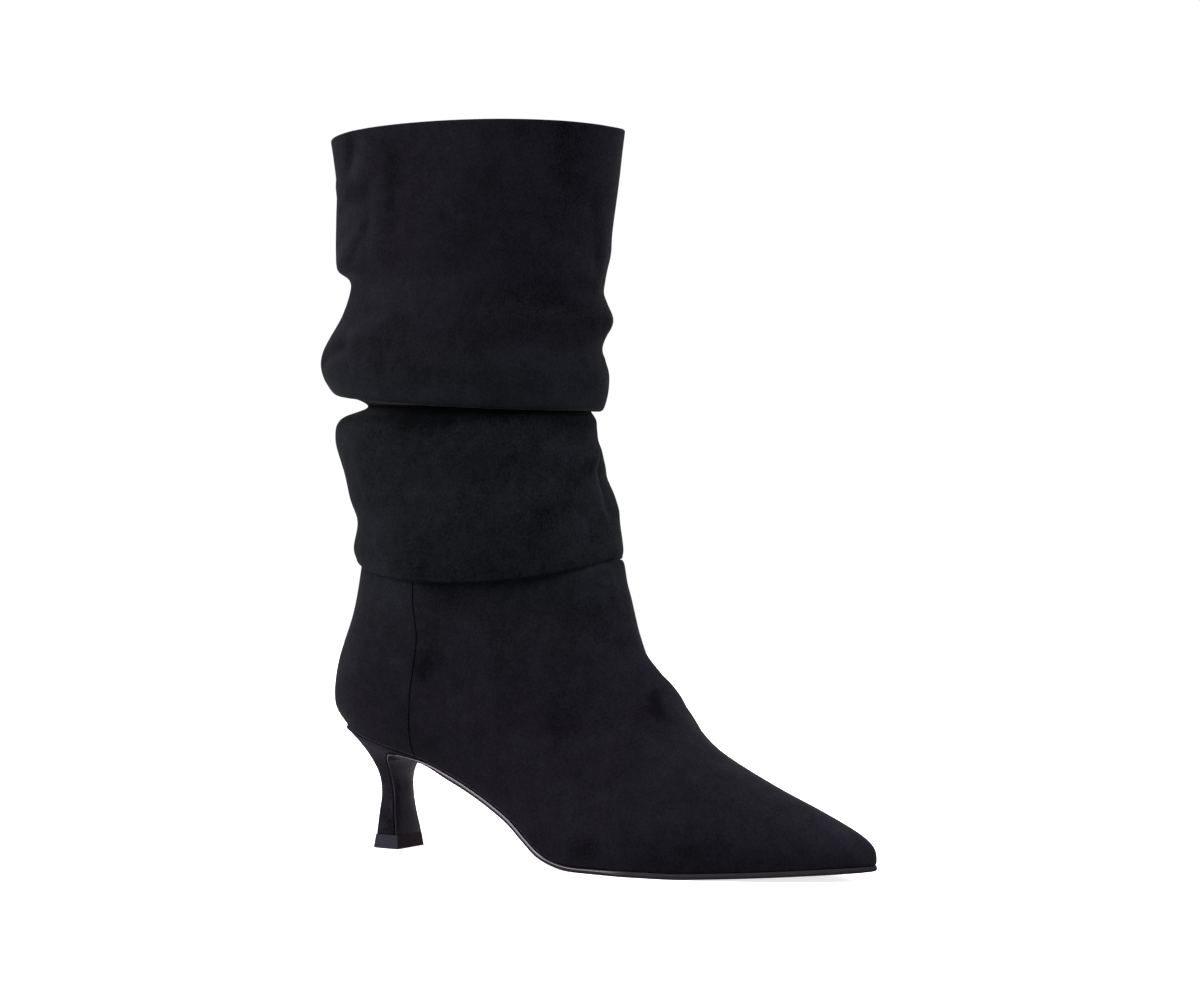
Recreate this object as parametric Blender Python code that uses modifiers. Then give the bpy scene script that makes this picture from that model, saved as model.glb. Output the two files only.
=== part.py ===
"""Slouched mid-calf boot with a pointed toe and a flared kitten heel, for the right foot.

The foot is lofted through a fan of sections round the last. Each section starts on the sole line, or
higher up on the back line, and ends on the ridge of the vamp or the front of the ankle. The shaft is a
stack of rings with a deep fold half way up. X runs to the toe, Y to the inner side of the foot, Z up.
Sizes are millimetres from the back of the heel and from the floor, and become metres in the meshes.
"""

import math
from collections import namedtuple

import bmesh
import bpy
import numpy as np

MM = 0.001

# Walls and clearances
UPPER_WALL = 1.6
SHAFT_WALL = 1.6
SOLE_TREAD = 2.4
SOLE_WAIST = 1.6
SOLE_FLAP = 1.2
INSOLE_BOARD = 2.0
SEAT_GAP = 0.3
SOLE_MARGIN = 0.6
INSOLE_INSET = 2.5
TREAD_LEVEL = SOLE_TREAD + SEAT_GAP

# The bend of the toe to the inner side, and where along the foot it starts
TOE_SWAY = 3.0
BALL_X = 162.0

# The share of each half section above its widest line, and how near to upright its lower side may be
TOP_SHARE = 0.5
MOST_UPRIGHT = 0.98

# Mesh fineness
WELD = 0.01
SLIVER = 0.001
SHARP_EDGE = math.radians(40)
SIDE_STEPS = 16
ROWS_PER_SECTION = 2
SHAFT_STEPS = 40
SOLE_STEPS = 8
HEEL_STEPS = 18

# The line where the upper's sections start: on the sole from the toe tip to the heel, then up the back,
# with the half widths of the opening underneath. They turn negative behind the heel, where it is closed.
StartPoint = namedtuple("StartPoint", "x z outer inner")
START_LINE = [
    StartPoint(261.5, 7.2, 0.0, 0.0),
    StartPoint(260.2, 7.1, 3.4, 3.4),
    StartPoint(254.0, 6.6, 8.2, 8.2),
    StartPoint(238.0, 5.4, 15.6, 16.0),
    StartPoint(217.0, 4.1, 24.6, 25.4),
    StartPoint(190.0, 2.8, 33.4, 33.8),
    StartPoint(176.0, 2.7, 35.8, 35.5),
    StartPoint(162.0, 2.7, 37.0, 36.0),
    StartPoint(139.0, 2.7, 34.5, 32.0),
    StartPoint(121.0, 6.8, 30.0, 26.0),
    StartPoint(104.0, 19.2, 26.5, 22.0),
    StartPoint(82.0, 31.1, 24.0, 20.5),
    StartPoint(56.0, 41.4, 22.3, 22.3),
    StartPoint(30.0, 47.6, 21.0, 21.0),
    StartPoint(13.5, 51.6, 15.6, 15.6),
    StartPoint(5.6, 53.6, 7.8, 7.8),
    StartPoint(3.4, 54.6, 0.0, 0.0),
    StartPoint(-1.5, 63.5, -7.8, -7.8),
    StartPoint(0.4, 80.0, -7.8, -7.8),
    StartPoint(10.2, 105.0, -7.8, -7.8),
    StartPoint(17.0, 138.5, -7.8, -7.8),
]
HEEL_SEAT_ROW = 12
TREAD_ROWS = (5, 8)
TREAD_FADE = 3.0
INSOLE_ROWS = (1.5, 13.5)

# The body of the foot: where each section ends on the ridge, its half widths to the outer and inner
# side, the share of its height where it is widest, the power of its round top, and how far the inner
# shoulder of that top is lifted towards the throat
Form = namedtuple("Form", "ridge_x ridge_z outer inner widest power lift")
FOOT_FORM = [
    Form(261.5, 10.5, 0.0, 0.0, 0.35, 2.0, 0.0),
    Form(260.0, 14.8, 4.0, 4.0, 0.35, 2.0, 0.0),
    Form(252.5, 20.0, 9.2, 9.2, 0.33, 2.0, 0.0),
    Form(236.2, 27.6, 16.8, 17.2, 0.30, 1.9, 0.0),
    Form(212.0, 37.9, 26.0, 26.8, 0.26, 1.8, 0.0),
    Form(187.0, 51.0, 35.0, 35.2, 0.22, 1.7, 0.0),
    Form(174.5, 62.5, 37.2, 36.8, 0.21, 1.65, 0.0),
    Form(168.0, 74.8, 38.6, 37.6, 0.20, 1.6, 0.0),
    Form(160.6, 82.4, 37.2, 35.6, 0.22, 1.6, 0.0),
    Form(152.7, 91.0, 35.6, 34.0, 0.28, 1.7, 0.0),
    Form(148.8, 100.0, 34.8, 33.2, 0.34, 1.8, 0.0),
    Form(146.2, 107.5, 34.5, 33.4, 0.40, 1.9, 0.0),
    Form(143.7, 113.5, 34.6, 34.0, 0.44, 2.1, 2.0),
    Form(141.9, 118.0, 34.9, 34.7, 0.46, 2.2, 4.0),
    Form(140.5, 121.5, 35.2, 36.0, 0.48, 2.3, 5.5),
    Form(139.3, 124.5, 35.6, 36.6, 0.49, 2.4, 7.0),
    Form(138.0, 126.3, 36.2, 37.4, 0.50, 2.4, 8.4),
    Form(135.4, 127.6, 36.8, 37.8, 0.50, 2.3, 7.2),
    Form(134.5, 131.2, 37.8, 38.4, 0.50, 2.2, 5.4),
    Form(134.1, 135.0, 39.2, 39.2, 0.50, 2.1, 2.5),
    Form(133.8, 138.5, 40.4, 40.4, 0.50, 2.1, 0.0),
]

# The slouched shaft, a ring for each fold from the hem up to the collar; a tilted ring hangs higher on its
# inner side
Ring = namedtuple("Ring", "back_x back_z front_x front_z half side_z tilt")
SHAFT_RINGS = [
    Ring(12.8, 132.0, 138.0, 129.4, 42.2, 123.2, 3.6),
    Ring(11.5, 135.5, 138.3, 133.5, 43.0, 129.7, 2.5),
    Ring(13.6, 144.5, 136.0, 145.0, 43.2, 142.0, 1.0),
    Ring(9.5, 155.0, 132.5, 155.0, 42.6, 153.5, 0.5),
    Ring(6.6, 165.5, 128.3, 164.0, 42.4, 163.0, 0.0),
    Ring(2.5, 176.5, 127.5, 174.0, 43.3, 174.5, 0.0),
    Ring(1.8, 182.0, 125.5, 179.0, 43.3, 180.5, 0.0),
    Ring(2.6, 186.5, 125.0, 184.0, 42.4, 185.5, 0.0),
    Ring(6.5, 190.0, 124.8, 188.0, 40.5, 189.0, 0.0),
    Ring(18.5, 194.0, 122.0, 192.5, 37.0, 193.5, 0.0),
    Ring(11.0, 199.0, 125.0, 191.6, 41.8, 194.0, 0.0),
    Ring(2.8, 200.2, 127.6, 192.6, 44.9, 195.0, 0.0),
    Ring(-1.8, 204.0, 129.6, 197.6, 46.4, 201.0, 0.0),
    Ring(-4.7, 209.0, 130.5, 203.0, 46.8, 206.0, 0.0),
    Ring(-5.5, 214.0, 130.4, 208.0, 46.9, 211.0, 0.0),
    Ring(-4.0, 219.0, 128.6, 213.5, 46.6, 216.5, 0.0),
    Ring(0.0, 225.0, 127.6, 219.0, 46.0, 222.5, 0.0),
    Ring(6.0, 234.0, 132.7, 230.0, 45.2, 231.5, 0.0),
    Ring(10.6, 244.0, 129.6, 237.5, 44.6, 241.0, 0.0),
    Ring(10.5, 249.5, 127.7, 242.0, 44.6, 246.0, 0.0),
    Ring(3.8, 254.5, 128.5, 247.0, 45.0, 251.0, 0.0),
    Ring(2.8, 262.0, 130.2, 256.0, 45.6, 259.5, 0.0),
    Ring(2.8, 276.5, 132.8, 272.0, 45.5, 274.5, 0.0),
    Ring(2.9, 290.0, 135.7, 289.0, 45.3, 289.5, 0.0),
    Ring(1.2, 301.5, 137.6, 302.5, 45.6, 303.2, 0.0),
    Ring(-0.5, 310.5, 139.0, 311.8, 46.2, 313.6, 0.0),
]
SHAFT_POWER = 2.1
SAG_POWER = 1.5

# The heel block, from its seat under the upper down to the tip, as D sections with a flat breast
HeelSection = namedtuple("HeelSection", "front_x front_z back_x back_z half power")
HEEL_BLOCK = [
    HeelSection(56.0, 41.0, 3.8, 53.5, 22.6, 2.6),
    HeelSection(38.5, 43.4, 7.4, 51.5, 20.2, 2.6),
    HeelSection(32.4, 41.6, 10.8, 48.0, 16.0, 2.8),
    HeelSection(29.6, 38.0, 15.8, 41.5, 11.8, 3.0),
    HeelSection(28.9, 32.0, 20.5, 32.7, 8.4, 3.4),
    HeelSection(29.6, 24.0, 21.7, 24.0, 7.2, 4.0),
    HeelSection(30.5, 15.5, 20.9, 15.5, 8.0, 4.5),
    HeelSection(32.1, 6.3, 20.3, 6.3, 9.3, 5.0),
]
HEEL_TIP = [
    HeelSection(33.9, 6.0, 19.8, 6.0, 9.5, 6.0),
    HeelSection(34.2, 0.0, 19.2, 0.0, 10.0, 6.0),
]

# Colours and roughness of the materials
Finish = namedtuple("Finish", "name colour roughness")
FOOT_SUEDE = Finish("foot_suede", (0.012, 0.011, 0.014), 0.9)
LEG_SUEDE = Finish("leg_suede", (0.011, 0.011, 0.014), 0.9)
HEEL_SUEDE = Finish("heel_suede", (0.012, 0.011, 0.014), 0.85)
GLOSSY_SOLE = Finish("glossy_sole", (0.010, 0.010, 0.011), 0.25)
SOCK_CLOTH = Finish("sock_cloth", (0.020, 0.020, 0.022), 0.8)
TIP_PLASTIC = Finish("tip_plastic", (0.035, 0.036, 0.043), 0.45)


def remove_old_objects():
    """Empty the scene."""
    for old in list(bpy.data.objects):
        bpy.data.objects.remove(old, do_unlink=True)


def catmull_rom(before, start, end, after, share):
    """A smooth curve from start to end that also heeds the points before and after."""
    bend = 2 * before - 5 * start + 4 * end - after
    twist = 3 * (start - end) + after - before
    return start + 0.5 * share * (end - before + share * (bend + share * twist))


def read_table(rows, place):
    """The columns of a table at a place between its rows, counted from the toe tip.

    Past the toe the table is mirrored, with the half widths turned to the other side, so that the toe
    closes in a round nose. Past its last row it is carried on straight.
    """
    table = np.array(rows, dtype=float)
    mirror = np.array([-1.0 if name in ("outer", "inner") else 1.0 for name in rows[0]._fields])
    padded = np.vstack([table[1] * mirror, table, 2 * table[-1] - table[-2]])
    start = min(int(place), len(rows) - 2)
    return catmull_rom(*padded[start:start + 4], place - start)


def start_point(place):
    """Where the section at a place starts, with the tread kept flat."""
    start = StartPoint(*read_table(START_LINE, place))
    return start._replace(z=max(start.z, TREAD_LEVEL))


def foot_form(place):
    """The body of the foot at a place along its table."""
    return Form(*read_table(FOOT_FORM, place))


def toe_sway(x):
    """How far the centre line bends to the inner side between the ball and the toe tip."""
    return TOE_SWAY * max(x - BALL_X, 0.0) ** 2 / (START_LINE[0].x - BALL_X) ** 2


def section_point(place, turn):
    """A point of the foot's outer surface.

    The turn runs from -1 at the outer end on the sole, over the ridge at 0, to 1 at the inner end.
    Above its widest line a section is a round top, and below it an ellipse that the sole cuts off.
    """
    start = start_point(place)
    form = foot_form(place)
    half = form.outer if turn < 0 else form.inner
    opening = max(start.outer if turn < 0 else start.inner, 0.0)
    if abs(turn) <= TOP_SHARE:
        angle = 0.5 * math.pi * (1 - abs(turn) / TOP_SHARE)
        crown = math.cos(angle) ** (2 / form.power)
        rise = math.sin(angle) ** (2 / form.power)
        width = half * crown
        share = form.widest + (1 - form.widest) * rise
        lift = form.lift * crown * rise if turn > 0 else 0.0
    else:
        lowest = math.acos(min(opening / max(half, WELD), MOST_UPRIGHT))
        angle = lowest * (abs(turn) - TOP_SHARE) / (1 - TOP_SHARE)
        width = half * math.cos(angle)
        share = form.widest * (1 - math.sin(angle) / math.sin(lowest))
        lift = 0.0
    x = start.x + share * (form.ridge_x - start.x)
    z = start.z + share * (form.ridge_z - start.z) + lift
    return x, math.copysign(width, turn) + toe_sway(x), z


def ring_point(ring, angle):
    """A point of a shaft ring, from the back at angle 0 round the outer side."""
    along = -math.copysign(abs(math.cos(angle)) ** (2 / SHAFT_POWER), math.cos(angle))
    across = -math.copysign(abs(math.sin(angle)) ** (2 / SHAFT_POWER), math.sin(angle))
    middle_x = 0.5 * (ring.back_x + ring.front_x)
    middle_z = 0.5 * (ring.back_z + ring.front_z)
    x = middle_x + along * (ring.front_x - middle_x)
    sag = abs(across) ** SAG_POWER * (ring.side_z - middle_z)
    z = middle_z + along * (ring.front_z - middle_z) + sag + across * ring.tilt
    return x, across * ring.half, z


def heel_point(section, angle):
    """A point of a heel section, from the outer end of the breast round the back to its inner end."""
    across = -math.copysign(abs(math.cos(angle)) ** (2 / section.power), math.cos(angle))
    along = abs(math.sin(angle)) ** (2 / section.power)
    x = section.front_x + along * (section.back_x - section.front_x)
    z = section.front_z + along * (section.back_z - section.front_z)
    return x, across * section.half, z


def sheet_mesh(name, rows):
    """A mesh of quads through rows of points, with coinciding points welded."""
    mesh = bpy.data.meshes.new(name)
    bm = bmesh.new()
    bmesh.ops.create_grid(bm, x_segments=len(rows[0]) - 1, y_segments=len(rows) - 1, size=1)
    bm.verts.ensure_lookup_table()
    for row, points in enumerate(rows):
        for column, point in enumerate(points):
            bm.verts[row * len(points) + column].co = [MM * value for value in point]
    bmesh.ops.remove_doubles(bm, verts=bm.verts, dist=WELD * MM)
    bmesh.ops.dissolve_degenerate(bm, edges=bm.edges, dist=SLIVER * MM)
    bm.to_mesh(mesh)
    bm.free()
    return mesh


def close_ends(mesh):
    """Fill the open ends of a lofted block."""
    bm = bmesh.new()
    bm.from_mesh(mesh)
    rims = [edge for edge in bm.edges if edge.is_boundary]
    bmesh.ops.holes_fill(bm, edges=rims)
    bmesh.ops.recalc_face_normals(bm, faces=bm.faces)
    bm.to_mesh(mesh)
    bm.free()


def finish_material(finish):
    """A Principled material in a finish."""
    material = bpy.data.materials.new(finish.name)
    material.use_nodes = True
    shader = material.node_tree.nodes["Principled BSDF"]
    shader.inputs["Base Color"].default_value = (*finish.colour, 1.0)
    shader.inputs["Roughness"].default_value = finish.roughness
    shader.inputs["Metallic"].default_value = 0.0
    return material


def add_piece(mesh, finish, boot):
    """A named object for one piece of the boot, under the boot's empty."""
    mesh.materials.append(finish_material(finish))
    mesh.shade_smooth()
    mesh.set_sharp_from_angle(angle=SHARP_EDGE)
    piece = bpy.data.objects.new(mesh.name, mesh)
    boot.users_collection[0].objects.link(piece)
    piece.parent = boot
    return piece


def add_wall(piece, thickness, side):
    """Give an open sheet its thickness, on the side of its normals (1) or against them (-1)."""
    wall = piece.modifiers.new("wall", "SOLIDIFY")
    wall.thickness = thickness * MM
    wall.offset = side
    wall.use_even_offset = True
    wall.use_quality_normals = True
    return wall


def build_upper(boot):
    """The foot part, hollow, open underneath and at the ankle."""
    row_count = ROWS_PER_SECTION * (len(FOOT_FORM) - 1) + 1
    turns = [step / SIDE_STEPS - 1 for step in range(2 * SIDE_STEPS + 1)]
    rows = [[section_point(row / ROWS_PER_SECTION, turn) for turn in turns] for row in range(row_count)]
    upper = add_piece(sheet_mesh("upper", rows), FOOT_SUEDE, boot)
    add_wall(upper, UPPER_WALL, -1)


def build_shaft(boot):
    """The slouched leg, a hollow tube that laps over the upper's top edge."""
    angles = [2 * math.pi * step / SHAFT_STEPS for step in range(SHAFT_STEPS + 1)]
    rows = [[ring_point(ring, angle) for angle in angles] for ring in SHAFT_RINGS]
    shaft = add_piece(sheet_mesh("shaft", rows), LEG_SUEDE, boot)
    add_wall(shaft, SHAFT_WALL, -1)


def sole_rows():
    """The top of the sole as (x, z, outer, inner, thickness), from the toe tip down to the heel's foot."""
    tip = start_point(0)
    rows = [(tip.x + SOLE_MARGIN, tip.z, 0.0, 0.0, SOLE_WAIST)]
    for step in range(1, ROWS_PER_SECTION * HEEL_SEAT_ROW):
        place = step / ROWS_PER_SECTION
        point = start_point(place)
        away = max(TREAD_ROWS[0] - place, place - TREAD_ROWS[1], 0.0)
        thickness = SOLE_TREAD + min(away / TREAD_FADE, 1.0) * (SOLE_WAIST - SOLE_TREAD)
        rows.append((point.x, point.z, point.outer + SOLE_MARGIN, point.inner + SOLE_MARGIN, thickness))
    for section in HEEL_BLOCK:
        rows.append((section.front_x, section.front_z, section.half, section.half, SOLE_FLAP))
    return rows


def shifted_rows(rows, gap):
    """The rows moved square to their path by a gap, to the side that the sole is on."""
    path = np.array([row[:2] for row in rows])
    headings = np.gradient(path, axis=0)
    headings /= np.linalg.norm(headings, axis=1)[:, None]
    normals = np.column_stack([headings[:, 1], -headings[:, 0]])
    moved = path - gap * normals
    return [(*place, *row[2:]) for place, row in zip(moved, rows)]


def cross_points(x, z, outer, inner):
    """Points straight across the sole, from its outer to its inner edge."""
    sway = toe_sway(x)
    points = []
    for step in range(SOLE_STEPS + 1):
        share = step / SOLE_STEPS
        points.append((x, sway - outer + share * (outer + inner), z))
    return points


def build_outsole(boot):
    """The thin sole, flat under the ball, with its flap down the front of the heel."""
    rows = shifted_rows(sole_rows(), SEAT_GAP)
    sheet = sheet_mesh("outsole", [cross_points(*row[:4]) for row in rows])
    outsole = add_piece(sheet, GLOSSY_SOLE, boot)
    wall = add_wall(outsole, SOLE_TREAD, -1)
    wall.vertex_group = outsole.vertex_groups.new(name="thickness").name
    places = np.array([(row[0], row[1]) for row in rows]) * MM
    for vertex in sheet.vertices:
        nearest = int(np.argmin(np.hypot(places[:, 0] - vertex.co.x, places[:, 1] - vertex.co.z)))
        outsole.vertex_groups["thickness"].add([vertex.index], rows[nearest][4] / SOLE_TREAD, "REPLACE")


def build_insole(boot):
    """The sock board inside the upper, on the sole and the heel seat."""
    rows = []
    first, last = [round(row * ROWS_PER_SECTION) for row in INSOLE_ROWS]
    for step in range(first, last + 1):
        point = start_point(step / ROWS_PER_SECTION)
        rows.append(cross_points(point.x, point.z, point.outer - INSOLE_INSET, point.inner - INSOLE_INSET))
    insole = add_piece(sheet_mesh("insole", rows), SOCK_CLOTH, boot)
    add_wall(insole, INSOLE_BOARD, 1)


def build_heel_block(boot, name, sections, finish):
    """A block lofted through D sections."""
    angles = [math.pi * step / HEEL_STEPS for step in range(HEEL_STEPS + 1)]
    rows = []
    for section in sections:
        points = [heel_point(section, angle) for angle in angles]
        rows.append(points + points[:1])
    mesh = sheet_mesh(name, rows)
    close_ends(mesh)
    add_piece(mesh, finish, boot)


def main():
    remove_old_objects()
    collection = bpy.data.collections.new("slouch_boot")
    bpy.context.scene.collection.children.link(collection)
    boot = bpy.data.objects.new("boot", None)
    collection.objects.link(boot)
    length = START_LINE[0].x + SOLE_MARGIN
    boot.location.x = -0.5 * MM * (length + min(ring.back_x for ring in SHAFT_RINGS))
    build_outsole(boot)
    build_insole(boot)
    build_heel_block(boot, "heel", HEEL_BLOCK, HEEL_SUEDE)
    build_heel_block(boot, "heel_tip", HEEL_TIP, TIP_PLASTIC)
    build_upper(boot)
    build_shaft(boot)


main()
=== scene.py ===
# %% [markdown]
# # Dressing a slouched suede boot
# The solid model of the boot is already packed as a fixed frame: sole, insole, heel, heel tip, upper and
# shaft, all at their real size. This lesson gives the boot its looks. It makes fine versions of the pieces
# from the same rules, presses creases into them, sews the seams and mixes the finishes.

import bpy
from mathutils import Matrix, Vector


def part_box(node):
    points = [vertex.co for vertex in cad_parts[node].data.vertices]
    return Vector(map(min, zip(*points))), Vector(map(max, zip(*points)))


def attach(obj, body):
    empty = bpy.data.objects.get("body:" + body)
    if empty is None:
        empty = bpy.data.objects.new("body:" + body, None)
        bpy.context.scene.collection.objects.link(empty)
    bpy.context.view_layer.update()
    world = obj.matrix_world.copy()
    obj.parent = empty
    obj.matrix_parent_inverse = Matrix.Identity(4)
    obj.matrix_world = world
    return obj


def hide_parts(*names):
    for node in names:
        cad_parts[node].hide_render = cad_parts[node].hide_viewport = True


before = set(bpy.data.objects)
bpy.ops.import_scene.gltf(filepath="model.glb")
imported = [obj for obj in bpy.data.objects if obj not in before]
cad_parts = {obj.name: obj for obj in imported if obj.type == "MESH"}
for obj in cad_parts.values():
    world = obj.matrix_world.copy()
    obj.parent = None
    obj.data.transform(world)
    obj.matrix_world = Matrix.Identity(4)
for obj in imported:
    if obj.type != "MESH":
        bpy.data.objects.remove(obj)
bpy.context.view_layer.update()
print("nodes:", sorted(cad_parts))

# %% [markdown]
# ## Sizes
# A shoemaker measures from the back of the heel and from the floor, in millimetres. All sizes below do the
# same. One function takes such points into the frame, which is in metres with its origin in the middle.

# %% Millimetres on the boot, metres in the frame
import math
from collections import namedtuple

import bmesh
import bpy
import numpy as np
from mathutils import Vector
from mathutils.bvhtree import BVHTree

MM = 0.001
TOE_TIP = 261.5
HEEL_BACK = np.array([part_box("upper")[1].x - TOE_TIP * MM, 0.0, 0.0])


def in_frame(points):
    """Points in the boot's millimetres, as points of the frame in metres."""
    return np.asarray(points, float) * MM + HEEL_BACK


print("heel's back in the frame:", HEEL_BACK.round(4))

# %% [markdown]
# ## The camera
# A product photographer stands well back with a long lens, so that near and far parts keep their
# proportions. The camera is turned from the side of the boot towards its toe and looks down very slightly.

# %% Camera
CAMERA_SPOT = (829.0, -1114.4, 166.4)
CAMERA_TURN = math.radians(32)
CAMERA_DIP = math.radians(0.554)
CAMERA_LENS = 93.0

camera = bpy.data.objects.new("camera", bpy.data.cameras.new("camera"))
bpy.context.scene.collection.objects.link(camera)
camera.data.lens = CAMERA_LENS
camera.location = in_frame(CAMERA_SPOT)
level = math.cos(CAMERA_DIP)
sight = Vector((-math.sin(CAMERA_TURN) * level, math.cos(CAMERA_TURN) * level, -math.sin(CAMERA_DIP)))
camera.rotation_euler = sight.to_track_quat("-Z", "Y").to_euler()
bpy.context.scene.camera = camera
print("camera at", tuple(round(v, 3) for v in camera.location))

# %% [markdown]
# ## Wiring nodes
# Finishes, surround and seams are all made of nodes. Each could be clicked together by hand, but a script
# can be read and changed. One helper makes a node and wires it: every input gets either a plain value or
# the output of another node.

# %% Helpers for nodes and plain materials
WHITE = (1.0, 1.0, 1.0)


def opaque(colour):
    """A colour with nothing of it see-through."""
    return (*colour, 1.0)


def wire(tree, node, wires):
    """Give the inputs of a node plain values or the outputs of other nodes."""
    for socket, value in wires.items():
        if isinstance(value, bpy.types.NodeSocket):
            tree.links.new(value, node.inputs[socket])
        else:
            node.inputs[socket].default_value = value


def add_node(tree, kind, wires=(), **settings):
    """A new node of a tree, set up and wired."""
    node = tree.nodes.new(kind)
    for name, value in settings.items():
        setattr(node, name, value)
    wire(tree, node, dict(wires))
    return node


def calculate(tree, operation, *values, **settings):
    """The output of a maths node."""
    wires = dict(enumerate(values))
    return add_node(tree, "ShaderNodeMath", wires, operation=operation, **settings).outputs[0]


def spread(tree, value, low, high):
    """The output of a node that takes values from 0 to 1 to values from low to high."""
    wires = {"Value": value, "To Min": low, "To Max": high}
    return add_node(tree, "ShaderNodeMapRange", wires).outputs[0]


def plain_material(name, colour, roughness):
    """A Principled material to start from, with its tree and its shader."""
    material = bpy.data.materials.new(name)
    material.use_nodes = True
    tree = material.node_tree
    shader = tree.nodes["Principled BSDF"]
    wire(tree, shader, {"Base Color": opaque(colour), "Roughness": roughness})
    return material, tree, shader


print("white, opaque:", opaque(WHITE))

# %% [markdown]
# ## The floor
# A photographer stands a black shoe on a pale table but lays grey cards round it, so that little light
# comes up from below. Here one floor does both: the camera sees pale paint, and the boot sees a grey card,
# which is darker still in its gloss.

# %% Floor
FLOOR_SIZE = 2.6
FLOOR_PAINT = (0.9, 0.9, 0.9)
FLOOR_ROUGHNESS = 0.8
FLOOR_GLOW = 0.75
CARD, MIRRORED_CARD = 0.35, 0.22

bpy.ops.mesh.primitive_plane_add(size=FLOOR_SIZE)
floor = bpy.context.object
floor.name = "floor"
floor_paint, tree, pale = plain_material("floor_paint", FLOOR_PAINT, FLOOR_ROUGHNESS)
ray = add_node(tree, "ShaderNodeLightPath").outputs
shade = spread(tree, ray["Is Glossy Ray"], CARD, MIRRORED_CARD)
card = add_node(tree, "ShaderNodeBsdfDiffuse", {"Color": shade})
glow = calculate(tree, "MULTIPLY", ray["Is Camera Ray"], FLOOR_GLOW)
wire(tree, pale, {"Specular IOR Level": 0.0, "Emission Color": opaque(WHITE), "Emission Strength": glow})
either = add_node(tree, "ShaderNodeMixShader",
                  {0: ray["Is Camera Ray"], 1: card.outputs[0], 2: pale.outputs[0]})
wire(tree, tree.nodes["Material Output"], {"Surface": either.outputs[0]})
floor.data.materials.append(floor_paint)
print("floor:", FLOOR_SIZE, "m wide")

# %% [markdown]
# ## The surround
# The white room behind the boot is a plain surround. It shows white to the camera, lights the boot less than
# that, and is dimmest in the gloss, so the shadow sides stay darker than the lit ones.

# %% Surround
SURROUND, MIRRORED = 0.6, 0.15

world = bpy.data.worlds.new("surround")
bpy.context.scene.world = world
world.use_nodes = True
tree = world.node_tree
ray = add_node(tree, "ShaderNodeLightPath").outputs
dimmed = spread(tree, ray["Is Glossy Ray"], SURROUND, MIRRORED)
fill = tree.nodes["Background"]
wire(tree, fill, {"Color": opaque(WHITE), "Strength": dimmed})
white = add_node(tree, "ShaderNodeBackground", {"Color": opaque(WHITE)})
either = add_node(tree, "ShaderNodeMixShader",
                  {0: ray["Is Camera Ray"], 1: fill.outputs[0], 2: white.outputs[0]})
wire(tree, tree.nodes["World Output"], {"Surface": either.outputs[0]})
print("surround:", SURROUND, "on the boot,", MIRRORED, "in its gloss")

# %% [markdown]
# ## The lamps
# Black suede needs much soft light, or its folds drown. Large lamps stand in front, at the heel, at the toe
# and over the boot. The three round the boot are kept out of its gloss, and two strips are there for nothing
# else: they draw the bright line along the edge of the sole.

# %% Lamps
Lamp = namedtuple("Lamp", "name spot width height power on_suede in_gloss")
LAMPS = [
    Lamp("front", (-250.0, -1500.0, 1150.0), 1.1, 1.1, 21.0, True, False),
    Lamp("heel_side", (-1190.0, -640.0, 470.0), 1.2, 1.2, 31.0, True, False),
    Lamp("toe_side", (1500.0, 450.0, 600.0), 1.1, 1.1, 28.0, True, False),
    Lamp("top", (100.0, 300.0, 1700.0), 1.2, 1.2, 28.0, True, True),
    Lamp("low_strip", (-850.0, -1024.0, 480.0), 0.8, 0.35, 6.5, False, True),
    Lamp("high_strip", (-242.0, -958.0, 1026.0), 1.2, 0.35, 15.0, False, True),
]
LAMP_TARGET = (110.0, 0.0, 130.0)

for lamp in LAMPS:
    light = bpy.data.lights.new(lamp.name, "AREA")
    light.energy = lamp.power
    light.shape = "RECTANGLE"
    light.size = lamp.width
    light.size_y = lamp.height
    holder = bpy.data.objects.new(lamp.name, light)
    holder.visible_camera = False
    holder.visible_diffuse = lamp.on_suede
    holder.visible_glossy = lamp.in_gloss
    bpy.context.scene.collection.objects.link(holder)
    holder.location = in_frame(lamp.spot)
    aim = Vector(in_frame(LAMP_TARGET)) - holder.location
    holder.rotation_euler = aim.to_track_quat("-Z", "Y").to_euler()
bpy.context.scene.view_settings.view_transform = "Standard"
print("lamps:", [lamp.name for lamp in LAMPS])

# %% [markdown]
# ## Smooth tables
# The boot's form is kept in short tables: a row for each section or fold. A smooth curve through the rows
# (a Catmull-Rom spline) gives as many sections in between as a fine mesh needs, without new numbers.

# %% Smooth curves through a table
def smooth_table(rows, places, turned=()):
    """The columns of a table at places between its rows.

    Before the first row the table goes on straight. Where columns are named in turned, it is mirrored there
    with those columns turned to the other side, so that a toe closes in a round nose.
    """
    table = np.array(rows, float)
    sign = np.array([-1.0 if name in turned else 1.0 for name in rows[0]._fields])
    before = table[1] * sign if turned else 2 * table[0] - table[1]
    padded = np.vstack([before, table, 2 * table[-1] - table[-2]])
    first = np.minimum(np.asarray(places, int), len(rows) - 2)
    share = (np.asarray(places, float) - first)[:, None]
    a, b, c, d = (padded[first + step] for step in range(4))
    columns = b + 0.5 * share * (c - a + share * (2 * a - 5 * b + 4 * c - d + share * (3 * (b - c) + d - a)))
    return type(rows[0])(*columns.T)


def rows_of(kind, rows):
    """A table with named columns."""
    return [kind(*row) for row in rows]


def fine_places(rows, steps):
    """Places along a table, with a number of steps from each row to the next."""
    return np.linspace(0, len(rows) - 1, steps * (len(rows) - 1) + 1)


print("places from row to row of a table with 3 rows, in 2 steps:", fine_places(range(3), 2))

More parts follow.
